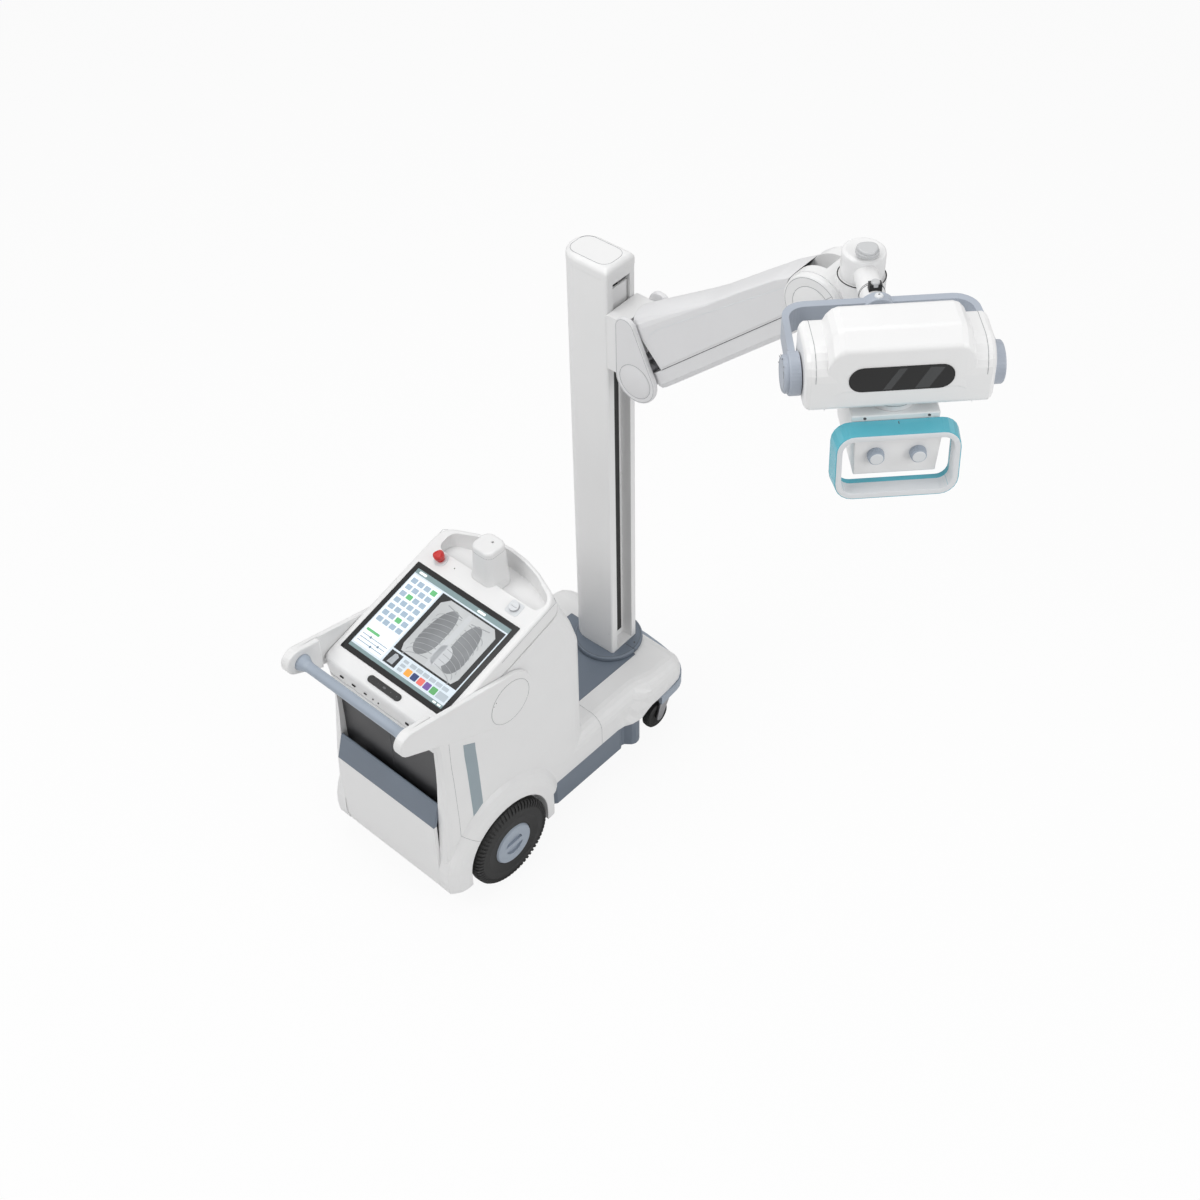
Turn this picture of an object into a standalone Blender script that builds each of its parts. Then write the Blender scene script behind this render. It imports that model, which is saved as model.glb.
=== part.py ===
"""Mobile x-ray machine: a wheeled console with a turning mast, a lifting arm and a tube head.

Metres. X points forward, Y to the machine's left and Z up. The origin is on the floor, straight below
the rear axle. The mast, the arm and the head are built in frames of their own, each under an empty that
stands on its joint's axis.
"""

import math

import bmesh
import bpy
from mathutils import Vector

# Gaps
SEAT = 0.0003
RUNNING = 0.003
BEARING_GAP = 0.0006
OVERSHOOT = 0.02
BEYOND_Y = 0.320

# Rear wheels
WHEEL_RADIUS = 0.151
WHEEL_OUTER_Y = 0.2846
TYRE_WIDTH = 0.056
RIM_RADIUS = 0.072
HUB_PROUD = 0.002
HUB_CAP_RADIUS = 0.068
GRIP_RADIUS = 0.036
GRIP_DEPTH = 0.008
AXLE_RADIUS = 0.015
AXLE_FLANGE_RADIUS = 0.034
AXLE_FLANGE = 0.010

# Front casters
CASTER_X = 0.775
CASTER_Y = 0.204
CASTER_TRAIL = 0.030
CASTER_RADIUS = 0.050
CASTER_WIDTH = 0.030
CASTER_FORK = 0.006
CASTER_STEM_RADIUS = 0.012

# Undercarriage
PAN_LOW = 0.0885
PAN_SKIN = 0.006
SKIRT_TOP = 0.192
PAN_REAR = -0.150
PAN_STEP_X = 0.195
PAN_NARROW_HALF = 0.214
PAN_INSET = 0.002
PAN_NOSE_X = 0.626
PAN_LOBE_HALF = 0.2645
RAIL_Y = 0.120
RAIL_WIDTH = 0.040
FRAME_TOP = 0.184
FRAME_PLATE = 0.016
FRAME_REAR = -0.150
FRAME_FRONT = 0.830
FRAME_HALF = 0.226
FRAME_SHOULDER_X = 0.634
FRAME_REAR_HALF = 0.190
BLOCK_LENGTH = 0.380
BLOCK_WIDTH = 0.340
BLOCK_HEIGHT = 0.250
BLOCK_X = 0.170

# Console body
BODY_REAR = -0.234
BODY_LOW = 0.100
FOOT_FRONT = 0.4437
FOOT_HALF = 0.245
FOOT_TOP = 0.3095
FOOT_REAR = -0.190
FOOT_ROUND = 0.047
FAIRING_ROUND = 0.030
FAIRING_SUNK = 0.030
WALL = 0.012
CAVITY_FRONT = 0.398
CAVITY_CORNER = 0.062
CAVITY_HALF = 0.205
CAVITY_TOP = 0.700
CONSOLE_TILT = math.radians(17.03)
CONSOLE_REF_X = 0.161
CONSOLE_REF_Z = 0.917
CONSOLE_THICK = 0.066
TOP_ROUND = 0.010

# Wheel arches
ARCH_RADIUS = 0.165
ARCH_OUTER_Y = 0.270
WELL_INNER_Y = 0.222
FENDER_RADIUS = 0.241

# Detector bin
BIN_HALF = 0.2050
BIN_LOW = 0.120
BIN_TOP = 0.388
BIN_FACE_X = -0.2365
BIN_THICK = 0.012
BIN_FLOOR = 0.008
BIN_BACK_X = -0.188
STRIP_TOP = 0.473
STRIP_TOP_X = -0.209
STRIP_TOP_THICK = 0.0055
RECESS_TOP = 0.700
LINER = 0.005

# Display and console controls
GLASS_HALF = 0.205
GLASS_LENGTH = 0.3364
GLASS_THICK = 0.009
GLASS_PROUD = 0.0015
ESTOP_AT = (0.201, 0.152)
STOP_STEM = 0.0125
STOP_RADIUS = 0.0165
STOP_HEIGHT = 0.032
KEY_AT = (0.201, -0.146)
STRIP_GAP = 0.027
STRIP_Y = -0.005
STRIP_LENGTH = 0.130
STRIP_WIDTH = 0.023
TRAY_DEPTH = 0.034
TRAY_REAR_X = 0.226
TRAY_LEFT = 0.190
TRAY_RIGHT = -0.213
TRAY_RIM = 0.013
TRAY_BOW = 1.2
TRAY_REAR_CORNER = 0.022
TRAY_FRONT_CORNER = 0.034
CONSOLE_FRONT_X = 0.344
DOCK_X = 0.252
DOCK_Y = -0.001
DOCK_SIDE = 0.092
DOCK_TOP_SIDE = 0.079
DOCK_CORNER = 0.024
DOCK_TOP = 1.0545
DOCK_HOLE = 0.004

# Push handle
HANDLE_OUTER_Y = 0.2435
HANDLE_SEAT_Y = 0.2275
HANDLE_INNER_Y = 0.2128
HANDLE_BAR_X = -0.2935
HANDLE_BAR_Z = 0.851
HANDLE_BAR_RADIUS = 0.016
HANDLE_BOSS_RADIUS = 0.026
HANDLE_THICK_TO_X = -0.222
HANDLE_TIP = (-0.3040, 0.858)
HANDLE_TIP_RADIUS = 0.041
HANDLE_ROUND = (0.066, 0.725)
HANDLE_ROUND_RADIUS = 0.094

# Deck over the casters
DECK_START = 0.444
DECK_FRONT = 0.863
DECK_CORNER = 0.075
DECK_SKIN = 0.006
FLANK_START = 0.528
FLANK_LENGTH = 0.060
FLANK_LEAN = 0.85
FLANK_OUT = 0.022
FRONT_BOW = 0.35
PLATE_HALF = 0.140
PLATE_REAR = 0.400
PLATE_THICK = 0.012
BUMPER_THICK = 0.012
BUMPER_PROUD = 0.005
BUMPER_START = 0.702
BUMPER_LOW = 0.179
BUMPER_RISE = 0.130
BUMPER_GAP = 0.001

# Mast
MAST_X = 0.7225
MAST_Y = -0.0233
MAST_YAW = math.radians(-88.0)
COLLAR_RADIUS = 0.1109
COLLAR_LOW = 0.311
COLLAR_TOP = 0.3256
BEARING_RADIUS = 0.070
PLATE_FRONT = MAST_X
COLUMN_LOW = 0.312
COLUMN_TOP = 1.7711
COLUMN_FRONT = 0.0682
COLUMN_HALF = 0.0597
COLUMN_BACK = -0.1073
COLUMN_CORNER = 0.007
CHANNEL_HALF = 0.0355
CHANNEL_DEPTH = 0.036
CHANNEL_LOW = 0.330
CHANNEL_TOP = 1.7498
CAP_HEIGHT = 0.034
CAP_ROUND = 0.018
BELT_HALF = 0.022
BELT_THICK = 0.004

# Carriage on the mast
CARRIAGE_LOW = 1.4886
CARRIAGE_TOP = 1.6551
CARRIAGE_FRONT = 0.1155
CARRIAGE_SHIELD_TOP = 1.7285
EAR_TOP = 1.669
EAR_FRONT = 0.1323
SHOULDER_A = 0.1803
SHOULDER_Z = 1.5058
SHOULDER_PIN_RADIUS = 0.015
CHEEK_INNER = 0.065
CHEEK_OUTER = 0.080
CHEEK_BIG = 0.0688
CHEEK_TOP = (0.1448, 1.6647)
CHEEK_SMALL = 0.0344
PIN_DEPTH = 0.008

# Arm
ARM_LENGTH = 0.7433
ARM_OFFSET = -0.0208
ARM_PITCH = math.radians(44.3)
ARM_HALF = 0.061
CORE_HALF = 0.030
CORE_DEPTH = 0.028
ROOT_RADIUS = 0.044
TONGUE_RADIUS = 0.040
COVER_SKIN = 0.004
ARM_SEAM_START = -0.006
ARM_SEAM_FALL = 0.0200
ARM_HOLLOW_LOW = -0.060
ARM_HOLLOW_TOP = 0.050

# Elbow and post
DRUM_RADIUS = 0.0866
DRUM_GAP = 0.0018
ELBOW_DISC_RADIUS = 0.0835
ELBOW_DISC_OUTER = 0.079
POST_OUT = 0.083
POST_LOWER_RADIUS = 0.0592
POST_LOWER_LOW = -0.071
POST_SPLIT = 0.0896
POST_RADIUS = 0.0532
POST_TOP = 0.1605
POST_TOP_ROUND = 0.010
POST_KNOB_RADIUS = 0.0273
POST_KNOB_OUT = 0.032

# Head
HEAD_YAW = math.radians(-45.5)
STUB_UP = 0.118
STUB_RADIUS = 0.0304
STUB_END = 0.170
LOCK_OUT = 0.140
LOCK_TOP = 0.046
YOKE_HUB_RADIUS = 0.0435
YOKE_BACK = 0.1732
YOKE_FRONT = 0.1944
YOKE_HALF_HEIGHT = 0.0309
YOKE_CORNER_T = 0.2273
YOKE_PIVOT_T = 0.2339
YOKE_THICK = 0.0157
YOKE_CORNER = 0.0567
PIVOT_OUT = 0.3919
DISC_RADIUS = 0.0491
DISC_INNER_T = 0.2132
DISC_OUTER_T = 0.2390
DISC_CAP_T = 0.2506
TRUNNION_RADIUS = 0.018
TRUNNION_DEPTH = 0.012
HOUSING_HALF = 0.2101
DISPLAY_HALF = 0.1160
DISPLAY_LOW = -0.002
DISPLAY_TOP = 0.0618
DISPLAY_THICK = 0.0034
DISPLAY_FRONT = 0.0761

# Collimator
NECK_RADIUS = 0.0567
NECK_LOW = -0.0775
BOX_TOP = -0.0780
BOX_LOW = -0.2132
BOX_BACK = -0.1114
BOX_FRONT = 0.1063
BOX_HALF = 0.1003
BOX_TAPER = 0.007
RING_HALF = 0.1402
RING_TOP = -0.0911
RING_LOW = -0.2521
RING_BAR = 0.014
RING_DEPTH = 0.050
RING_FRONT = 0.1185
RING_LEAN = 0.16
RING_CORNER = 0.042
RING_FLARE = 0.005
KNOB_T = 0.0476
KNOB_DROP = -0.1554
KNOB_RADIUS = 0.018
KNOB_LENGTH = 0.018
WINDOW_HALF = 0.065
WINDOW_THICK = 0.004
WINDOW_RECESS = 0.002


def srgb(red, green, blue):
    """A linear colour with alpha from display values."""
    def linear(value):
        return value / 12.92 if value <= 0.04045 else ((value + 0.055) / 1.055) ** 2.4
    return (linear(red), linear(green), linear(blue), 1.0)


def material(name, colour, roughness, metallic=0.0):
    made = bpy.data.materials.new(name)
    made.use_nodes = True
    shader = made.node_tree.nodes["Principled BSDF"]
    shader.inputs["Base Color"].default_value = colour
    shader.inputs["Roughness"].default_value = roughness
    shader.inputs["Metallic"].default_value = metallic
    made.diffuse_color = colour
    return made


def clear_scene():
    for old in list(bpy.data.objects):
        bpy.data.objects.remove(old)


clear_scene()

WHITE = material("white_cover", srgb(0.93, 0.93, 0.93), 0.35)
GREY = material("light_grey_cover", srgb(0.84, 0.84, 0.84), 0.40)
SLATE = material("slate_cover", srgb(0.42, 0.46, 0.52), 0.45)
BLUE_GREY = material("blue_grey_trim", srgb(0.62, 0.66, 0.72), 0.40)
BLACK = material("black_plastic", srgb(0.10, 0.10, 0.10), 0.45)
GLASS = material("black_glass", srgb(0.03, 0.03, 0.03), 0.10)
TYRE = material("tyre_rubber", srgb(0.09, 0.09, 0.09), 0.70)
STEEL = material("steel", srgb(0.60, 0.60, 0.60), 0.35, 1.0)
DARK_STEEL = material("painted_steel", srgb(0.25, 0.26, 0.28), 0.50)
TEAL = material("teal_ring", srgb(0.30, 0.68, 0.77), 0.35)
RED = material("red_button", srgb(0.78, 0.12, 0.12), 0.35)
CLEAR = material("clear_window", srgb(0.80, 0.85, 0.86), 0.08)


# Building blocks


def axis_empty(name, place, yaw=0.0, pitch=0.0, parent=None):
    empty = bpy.data.objects.new(name, None)
    bpy.context.scene.collection.objects.link(empty)
    empty.location = place
    empty.rotation_euler = (0.0, pitch, yaw)
    empty.parent = parent
    return empty


def solid(name, points, faces, finish, parent=None, sharp=35.0):
    """One named object from points and faces, with its faces turned outward and round parts smooth."""
    mesh = bpy.data.meshes.new(name)
    mesh.from_pydata(points, [], faces)
    work = bmesh.new()
    work.from_mesh(mesh)
    bmesh.ops.recalc_face_normals(work, faces=work.faces)
    work.to_mesh(mesh)
    work.free()
    mesh.shade_smooth()
    mesh.set_sharp_from_angle(angle=math.radians(sharp))
    made = bpy.data.objects.new(name, mesh)
    made.data.materials.append(finish)
    made.parent = parent
    bpy.context.scene.collection.objects.link(made)
    return made


def loft(name, rings, finish, parent=None, sharp=35.0):
    """Joins rings of equal length one to the next and closes both ends."""
    count = len(rings[0])
    points = [point for ring in rings for point in ring]
    faces = []
    for level in range(len(rings) - 1):
        for index in range(count):
            after = (index + 1) % count
            low = level * count
            high = low + count
            faces.append((low + index, low + after, high + after, high + index))
    faces.append(tuple(range(count)))
    faces.append(tuple(range(len(points) - count, len(points))))
    return solid(name, points, faces, finish, parent, sharp)


def along(axis, first, second, depth):
    """A point from two outline values and its depth along the axis of extrusion."""
    if axis == "x":
        return (depth, first, second)
    if axis == "y":
        return (first, depth, second)
    return (first, second, depth)


def prism(name, outline, axis, low, high, finish, parent=None, sharp=35.0):
    rings = [[along(axis, u, v, depth) for u, v in outline] for depth in (low, high)]
    return loft(name, rings, finish, parent, sharp)


def box(name, low, high, finish, parent=None):
    outline = [(low[0], low[1]), (high[0], low[1]), (high[0], high[1]), (low[0], high[1])]
    return prism(name, outline, "z", low[2], high[2], finish, parent)


def lathe(name, profile, axis, centre, finish, parent=None, steps=32, sharp=35.0):
    """Turns a profile of (radius, place along the axis) pairs, and closes it where it meets the axis."""
    points = []
    rings = []
    for radius, depth in profile:
        ring = []
        if radius < 1e-6:
            ring.append(len(points))
            points.append((0.0, 0.0, depth))
        else:
            for step in range(steps):
                angle = 2 * math.pi * step / steps
                ring.append(len(points))
                points.append((radius * math.cos(angle), radius * math.sin(angle), depth))
        rings.append(ring)
    faces = []
    closed = len(rings[0]) > 1
    pairs = list(zip(rings, rings[1:]))
    if closed:
        pairs.append((rings[-1], rings[0]))
    for one, two in pairs:
        if len(one) == 1 and len(two) == 1:
            continue
        for step in range(steps):
            after = (step + 1) % steps
            if len(one) == 1:
                faces.append((one[0], two[after], two[step]))
            elif len(two) == 1:
                faces.append((one[step], one[after], two[0]))
            else:
                faces.append((one[step], one[after], two[after], two[step]))
    placed = []
    for first, second, depth in points:
        turned = along(axis, first, second, depth)
        placed.append(tuple(turned[i] + centre[i] for i in range(3)))
    return solid(name, placed, faces, finish, parent, sharp)


def disc_profile(radius, low, high, edge=0.0):
    """A turned disc from low to high, its high rim rounded by edge."""
    if edge <= 0.0:
        return [(0.0, low), (radius, low), (radius, high), (0.0, high)]
    turn = 1.0 if high > low else -1.0
    profile = [(0.0, low), (radius, low)]
    for step in range(4):
        angle = math.pi / 2 * step / 3
        out = radius - edge + edge * math.cos(angle)
        up = high - turn * edge + turn * edge * math.sin(angle)
        profile.append((out, up))
    profile.append((0.0, high))
    return profile


def arc(centre, radius, start, stop, steps):
    """Points on an arc, angles in degrees."""
    made = []
    for step in range(steps + 1):
        angle = math.radians(start + (stop - start) * step / steps)
        made.append((centre[0] + radius * math.cos(angle), centre[1] + radius * math.sin(angle)))
    return made


def rounded_rectangle(low, high, corner, steps=4):
    made = []
    corners = (
        (high[0] - corner, high[1] - corner, 0),
        (low[0] + corner, high[1] - corner, 90),
        (low[0] + corner, low[1] + corner, 180),
        (high[0] - corner, low[1] + corner, 270),
    )
    for across, up, start in corners:
        made += arc((across, up), corner, start, start + 90, steps)
    return made


def two_circles(one, one_radius, two, two_radius, steps=10):
    """The outline of a band drawn tight round two circles."""
    across = two[0] - one[0]
    up = two[1] - one[1]
    span = math.hypot(across, up)
    heading = math.degrees(math.atan2(up, across))
    lean = math.degrees(math.acos((one_radius - two_radius) / span))
    made = arc(one, one_radius, heading + lean, heading + 360 - lean, steps)
    made += arc(two, two_radius, heading - lean, heading + lean, steps)
    return made


def mirrored(outline):
    """The outline with its second value turned round, for the other side."""
    return [(first, -second) for first, second in reversed(outline)]


def bevel(target, width, segments=2, angle=40.0):
    made = target.modifiers.new("rounded edges", "BEVEL")
    made.width = width
    made.segments = segments
    made.limit_method = "ANGLE"
    made.angle_limit = math.radians(angle)
    made.use_clamp_overlap = True


def helper(made):
    made.hide_render = True
    made.display_type = "WIRE"
    return made


def cut(target, cutter):
    step = target.modifiers.new("cut by " + cutter.name, "BOOLEAN")
    step.operation = "DIFFERENCE"
    step.solver = "EXACT"
    step.object = helper(cutter)


def add(target, other):
    step = target.modifiers.new("with " + other.name, "BOOLEAN")
    step.operation = "UNION"
    step.solver = "EXACT"
    step.object = helper(other)


def keep(target, other):
    step = target.modifiers.new("inside " + other.name, "BOOLEAN")
    step.operation = "INTERSECT"
    step.solver = "EXACT"
    step.object = helper(other)


# Console planes


def console_z(x, drop=0.0):
    """Height of the sloping console top at x, drop below it along its normal."""
    return CONSOLE_REF_Z + (x - CONSOLE_REF_X) * math.tan(CONSOLE_TILT) - drop / math.cos(CONSOLE_TILT)


def on_console(x, y, out=0.0):
    """A point out from the console top along its normal, above or below the place (x, y) on it."""
    return (x - out * math.sin(CONSOLE_TILT), y, console_z(x) + out * math.cos(CONSOLE_TILT))


def console_empty(name, x, y):
    return axis_empty(name, (x, y, console_z(x)), 0.0, -CONSOLE_TILT)


def slope_block(name, drop, finish=WHITE):
    """All that lies above the console top lowered by drop."""
    far = 0.8
    outline = [(-far, console_z(-far, drop)), (far, console_z(far, drop)), (far, 2.0), (-far, 2.0)]
    return prism(name, outline, "y", -far, far, finish)


# Console body

# Columns: height, rear x, front x on the middle line, half width, rear corner, front corner, front bow
TOWER_SECTIONS = (
    (0.1930, -0.2300, 0.430, FOOT_HALF, 0.020, 0.088, 0.030),
    (0.3900, -0.2180, 0.430, FOOT_HALF - 0.002, 0.020, 0.088, 0.030),
    (0.5600, -0.2050, 0.430, FOOT_HALF - 0.011, 0.020, 0.070, 0.030),
    (0.6200, -0.2030, 0.430, FOOT_HALF - 0.016, 0.022, 0.060, 0.030),
    (0.7000, -0.2030, 0.429, FOOT_HALF - 0.017, 0.024, 0.056, 0.031),
    (0.7800, -0.2140, 0.409, FOOT_HALF - 0.017, 0.026, 0.058, 0.034),
    (0.8500, -0.2150, 0.383, FOOT_HALF - 0.017, 0.028, 0.060, 0.038),
    (0.9200, -0.2150, 0.360, FOOT_HALF - 0.017, 0.028, 0.062, 0.042),
    (1.0200, -0.2150, 0.330, FOOT_HALF - 0.017, 0.028, 0.062, 0.044),
)


def tower_ring(row, grow=0.0):
    height, rear, front, half, rear_corner, front_corner, bow = row
    rear -= grow
    front += grow
    half += grow
    side_front = front - bow
    ring = arc((rear + rear_corner, half - rear_corner), rear_corner, 180, 90, 3)
    ring += arc((side_front - front_corner, half - front_corner), front_corner, 90, 18, 5)
    edge = ring[-1]
    for part in (0.66, 0.33, 0.0):
        ring.append((edge[0] + (front - edge[0]) * (1 - part * part), edge[1] * part))
    other = [(x, -y) for x, y in reversed(ring[:-1])]
    return [(x, y, height) for x, y in ring + other]


def tower(name, grow=0.0):
    return loft(name, [tower_ring(row, grow) for row in TOWER_SECTIONS], WHITE)


def foot_block(name):
    """The low, wide part of the console body, as far as the deck."""
    section = [(FOOT_HALF, BODY_LOW)] + arc((FOOT_HALF - FOOT_ROUND, FOOT_TOP - FOOT_ROUND), FOOT_ROUND, 0, 90, 5)
    outline = section + [(-y, z) for y, z in reversed(section)]
    return prism(name, outline, "x", FOOT_REAR, FOOT_FRONT, WHITE)


def foot_fairing(name):
    """The hollow round between the tower's front corners and the top of the foot."""
    height, rear, front, half, rear_corner, front_corner, bow = TOWER_SECTIONS[1]
    rings = []
    for share in (-1.0, 0.0, 0.12, 0.28, 0.52, 0.76, 1.0):
        rise = FAIRING_ROUND * max(0.0, share)
        reach = FAIRING_ROUND - math.sqrt(FAIRING_ROUND**2 - (FAIRING_ROUND - rise) ** 2)
        low = FOOT_TOP - 0.004 + rise - (FAIRING_SUNK if share < 0.0 else 0.0)
        row = (low, 0.10, front + reach - 0.0012, half - 0.0008, rear_corner, front_corner + reach, bow)
        rings.append(tower_ring(row))
    made = loft(name, rings, WHITE)
    keep(made, box("fairing limit", (0.0, -BEYOND_Y, 0.0), (FOOT_FRONT - SEAT, BEYOND_Y, 1.0), WHITE))
    return made


def rear_block(name):
    """The lower rear corner, which runs down behind the wheels."""
    rings = []
    lower_edge = BODY_LOW + 0.030
    for z, rear, half in (
        (BODY_LOW, BODY_REAR, FOOT_HALF - 0.007),
        (lower_edge, BODY_REAR - 0.002, FOOT_HALF),
        (0.30, BODY_REAR + 0.0105, FOOT_HALF - 0.0005),
    ):
        outline = rounded_rectangle((rear, -half), (0.10, half), 0.022, 3)
        rings.append([(x, y, z) for x, y in outline])
    return loft(name, rings, WHITE)


def fender_block(name, side):
    """The moulded bulge round a wheel, turned about the axle."""
    profile = [
        (ARCH_RADIUS - 0.02, 0.200),
        (ARCH_RADIUS - 0.02, ARCH_OUTER_Y - 0.004),
        (ARCH_RADIUS + 0.002, ARCH_OUTER_Y),
        (ARCH_RADIUS + 0.030, ARCH_OUTER_Y - 0.001),
        (ARCH_RADIUS + 0.048, ARCH_OUTER_Y - 0.006),
        (ARCH_RADIUS + 0.064, ARCH_OUTER_Y - 0.016),
        (FENDER_RADIUS, FOOT_HALF - 0.002),
        (FENDER_RADIUS, 0.200),
    ]
    placed = [(radius, side * depth) for radius, depth in profile]
    return lathe(name, placed, "y", (0.0, 0.0, WHEEL_RADIUS), WHITE, None, 40)


def handle_outline(grow=0.0):
    """Side view of a handle arm: a round front end, a long taper and a small round tip."""
    tip = two_circles(HANDLE_ROUND, HANDLE_ROUND_RADIUS + grow, HANDLE_TIP, HANDLE_TIP_RADIUS + grow, 12)
    return tip


def console_body():
    body = tower("body_shell")
    add(body, foot_block("foot form"))
    add(body, foot_fairing("foot fairing"))
    add(body, rear_block("rear form"))
    for side, label in ((1, "left"), (-1, "right")):
        add(body, fender_block("fender form " + label, side))
    floor_cut = box("below body", (-0.5, -0.4, -0.5), (0.6, 0.4, BODY_LOW), WHITE)
    cut(body, floor_cut)
    skirt_cut = box("above skirt", (PAN_STEP_X, -0.4, 0.0), (0.6, 0.4, SKIRT_TOP + SEAT), WHITE)
    cut(body, skirt_cut)
    narrow = PAN_NARROW_HALF + SEAT
    pan_cut = box("above pan", (PAN_REAR - SEAT, -narrow, 0.0), (0.3, narrow, SKIRT_TOP + SEAT), WHITE)
    cut(body, pan_cut)
    plate_low = FOOT_TOP - PLATE_THICK - SEAT
    plate_edge = PLATE_HALF + SEAT
    plate_cut = box("under plate", (PLATE_REAR, -plate_edge, plate_low), (0.6, plate_edge, 0.5), WHITE)
    front_limit = tower("tower behind plate")
    cut(plate_cut, front_limit)
    cut(body, plate_cut)
    for side, label in ((1, "left"), (-1, "right")):
        inner, outer = sorted((side * WELL_INNER_Y, side * BEYOND_Y))
        well = lathe(
            "wheel well " + label,
            disc_profile(ARCH_RADIUS, side * WELL_INNER_Y, side * BEYOND_Y),
            "y",
            (0.0, 0.0, WHEEL_RADIUS),
            BLACK,
            None,
            48,
        )
        cut(body, well)
        foot = box("well foot " + label, (-ARCH_RADIUS, inner, 0.0), (ARCH_RADIUS, outer, WHEEL_RADIUS), BLACK)
        cut(body, foot)
        shaft_hole = disc_profile(AXLE_RADIUS + RUNNING, side * 0.19, side * 0.24)
        cut(body, lathe("shaft hole " + label, shaft_hole, "y", (0.0, 0.0, WHEEL_RADIUS), BLACK, None, 20))
        grown = handle_outline(SEAT)
        cut(body, prism("handle seat " + label, grown, "y", side * HANDLE_SEAT_Y, side * BEYOND_Y, WHITE))
    cut(body, slope_block("console top line", CONSOLE_THICK))
    cavity_rear = BIN_BACK_X + LINER + WALL
    plan = [(cavity_rear, -CAVITY_HALF)]
    plan += arc((CAVITY_FRONT - CAVITY_CORNER, CAVITY_CORNER - CAVITY_HALF), CAVITY_CORNER, 270, 360, 5)
    plan += arc((CAVITY_FRONT - CAVITY_CORNER, CAVITY_HALF - CAVITY_CORNER), CAVITY_CORNER, 0, 90, 5)
    plan += [(cavity_rear, CAVITY_HALF)]
    cut(body, prism("body cavity", plan, "z", 0.0, CAVITY_TOP, WHITE))
    side_y = BIN_HALF + SEAT
    back_x = BIN_BACK_X + LINER + SEAT
    cut(body, box("bin opening", (-0.4, -side_y, BIN_LOW - SEAT), (back_x, side_y, RECESS_TOP), BLACK))
    return body


def console_top():
    top = tower("console_top")
    cut(top, slope_block("above console", 0.0))
    under = slope_block("below console", CONSOLE_THICK - SEAT)
    keep(top, under)
    bevel(top, TOP_ROUND, 3, 50.0)
    glass_seat = box(
        "glass seat",
        (-GLASS_LENGTH / 2 - SEAT, -GLASS_HALF - SEAT, GLASS_PROUD - GLASS_THICK - SEAT),
        (GLASS_LENGTH / 2 + SEAT, GLASS_HALF + SEAT, 0.05),
        BLACK,
        console_empty("glass seat place", GLASS_X, 0.0),
    )
    cut(top, glass_seat)
    tray = prism("tray hollow", tray_outline(), "z", tray_floor(), 1.2, WHITE)
    cut(top, tray)
    for side, label in ((1, "left"), (-1, "right")):
        outline = handle_outline(SEAT)
        cut(top, prism("handle seat top " + label, outline, "y", side * HANDLE_SEAT_Y, side * BEYOND_Y, WHITE))
    return top


GLASS_X = CONSOLE_REF_X - 0.5 * GLASS_LENGTH * math.cos(CONSOLE_TILT)
STRIP_X = GLASS_X - (0.5 * GLASS_LENGTH + STRIP_GAP) * math.cos(CONSOLE_TILT)


def tray_floor():
    return console_z(TRAY_REAR_X) - TRAY_DEPTH


def tray_front(y):
    """Front edge of the tray, a rim behind the console's bowed front."""
    return CONSOLE_FRONT_X - TRAY_RIM - TRAY_BOW * y * y


def tray_outline():
    """Plan of the tray: a bowed front, round ends and a bay behind for the exposure dock."""
    rear = TRAY_REAR_CORNER
    front = TRAY_FRONT_CORNER
    reach = tray_front(TRAY_RIGHT + 0.5 * front)
    outline = arc((TRAY_REAR_X + rear, TRAY_RIGHT + rear), rear, 180, 270, 5)
    outline += arc((reach - front, TRAY_RIGHT + front), front, 270, 335, 5)
    for step in range(1, 9):
        y = TRAY_RIGHT + 1.3 * front + (TRAY_LEFT - TRAY_RIGHT - 2.6 * front) * step / 9
        outline.append((tray_front(y), y))
    reach = tray_front(TRAY_LEFT - 0.5 * front)
    outline += arc((reach - front, TRAY_LEFT - front), front, 25, 90, 5)
    outline += arc((TRAY_REAR_X + rear, TRAY_LEFT - rear), rear, 90, 180, 5)
    dock = DOCK_SIDE / 2 - DOCK_CORNER
    bay = arc((DOCK_X - dock, DOCK_Y + dock), DOCK_CORNER + SEAT, 90, 180, 5)
    inside = [point for point in bay if point[0] < TRAY_REAR_X]
    outline += [(TRAY_REAR_X, bay[0][1])] + inside
    outline += [(x, 2 * DOCK_Y - y) for x, y in reversed(inside)] + [(TRAY_REAR_X, 2 * DOCK_Y - bay[0][1])]
    return outline


def exposure_dock():
    """A tapered post with a flared foot and a hole for the switch in its top."""
    low = tray_floor() + SEAT
    rings = []
    for z, side in (
        (low, DOCK_SIDE),
        (low + TRAY_DEPTH - 0.004, DOCK_SIDE),
        (low + TRAY_DEPTH + 0.007, DOCK_SIDE - 0.0035),
        (low + TRAY_DEPTH + 0.027, DOCK_SIDE - 0.0055),
        (DOCK_TOP - 0.007, DOCK_TOP_SIDE),
        (DOCK_TOP - 0.002, DOCK_TOP_SIDE - 0.004),
        (DOCK_TOP, DOCK_TOP_SIDE - 0.012),
    ):
        half = side / 2
        plan = rounded_rectangle((DOCK_X - half, DOCK_Y - half), (DOCK_X + half, DOCK_Y + half), DOCK_CORNER, 5)
        rings.append([(x, y, z) for x, y in plan])
    dock = loft("exposure_dock", rings, WHITE)
    hole = disc_profile(DOCK_HOLE, DOCK_TOP - 0.03, DOCK_TOP + 0.02)
    cut(dock, lathe("dock hole", hole, "z", (DOCK_X + 0.012, DOCK_Y - 0.006, 0.0), BLACK, None, 16))
    return dock


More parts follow.
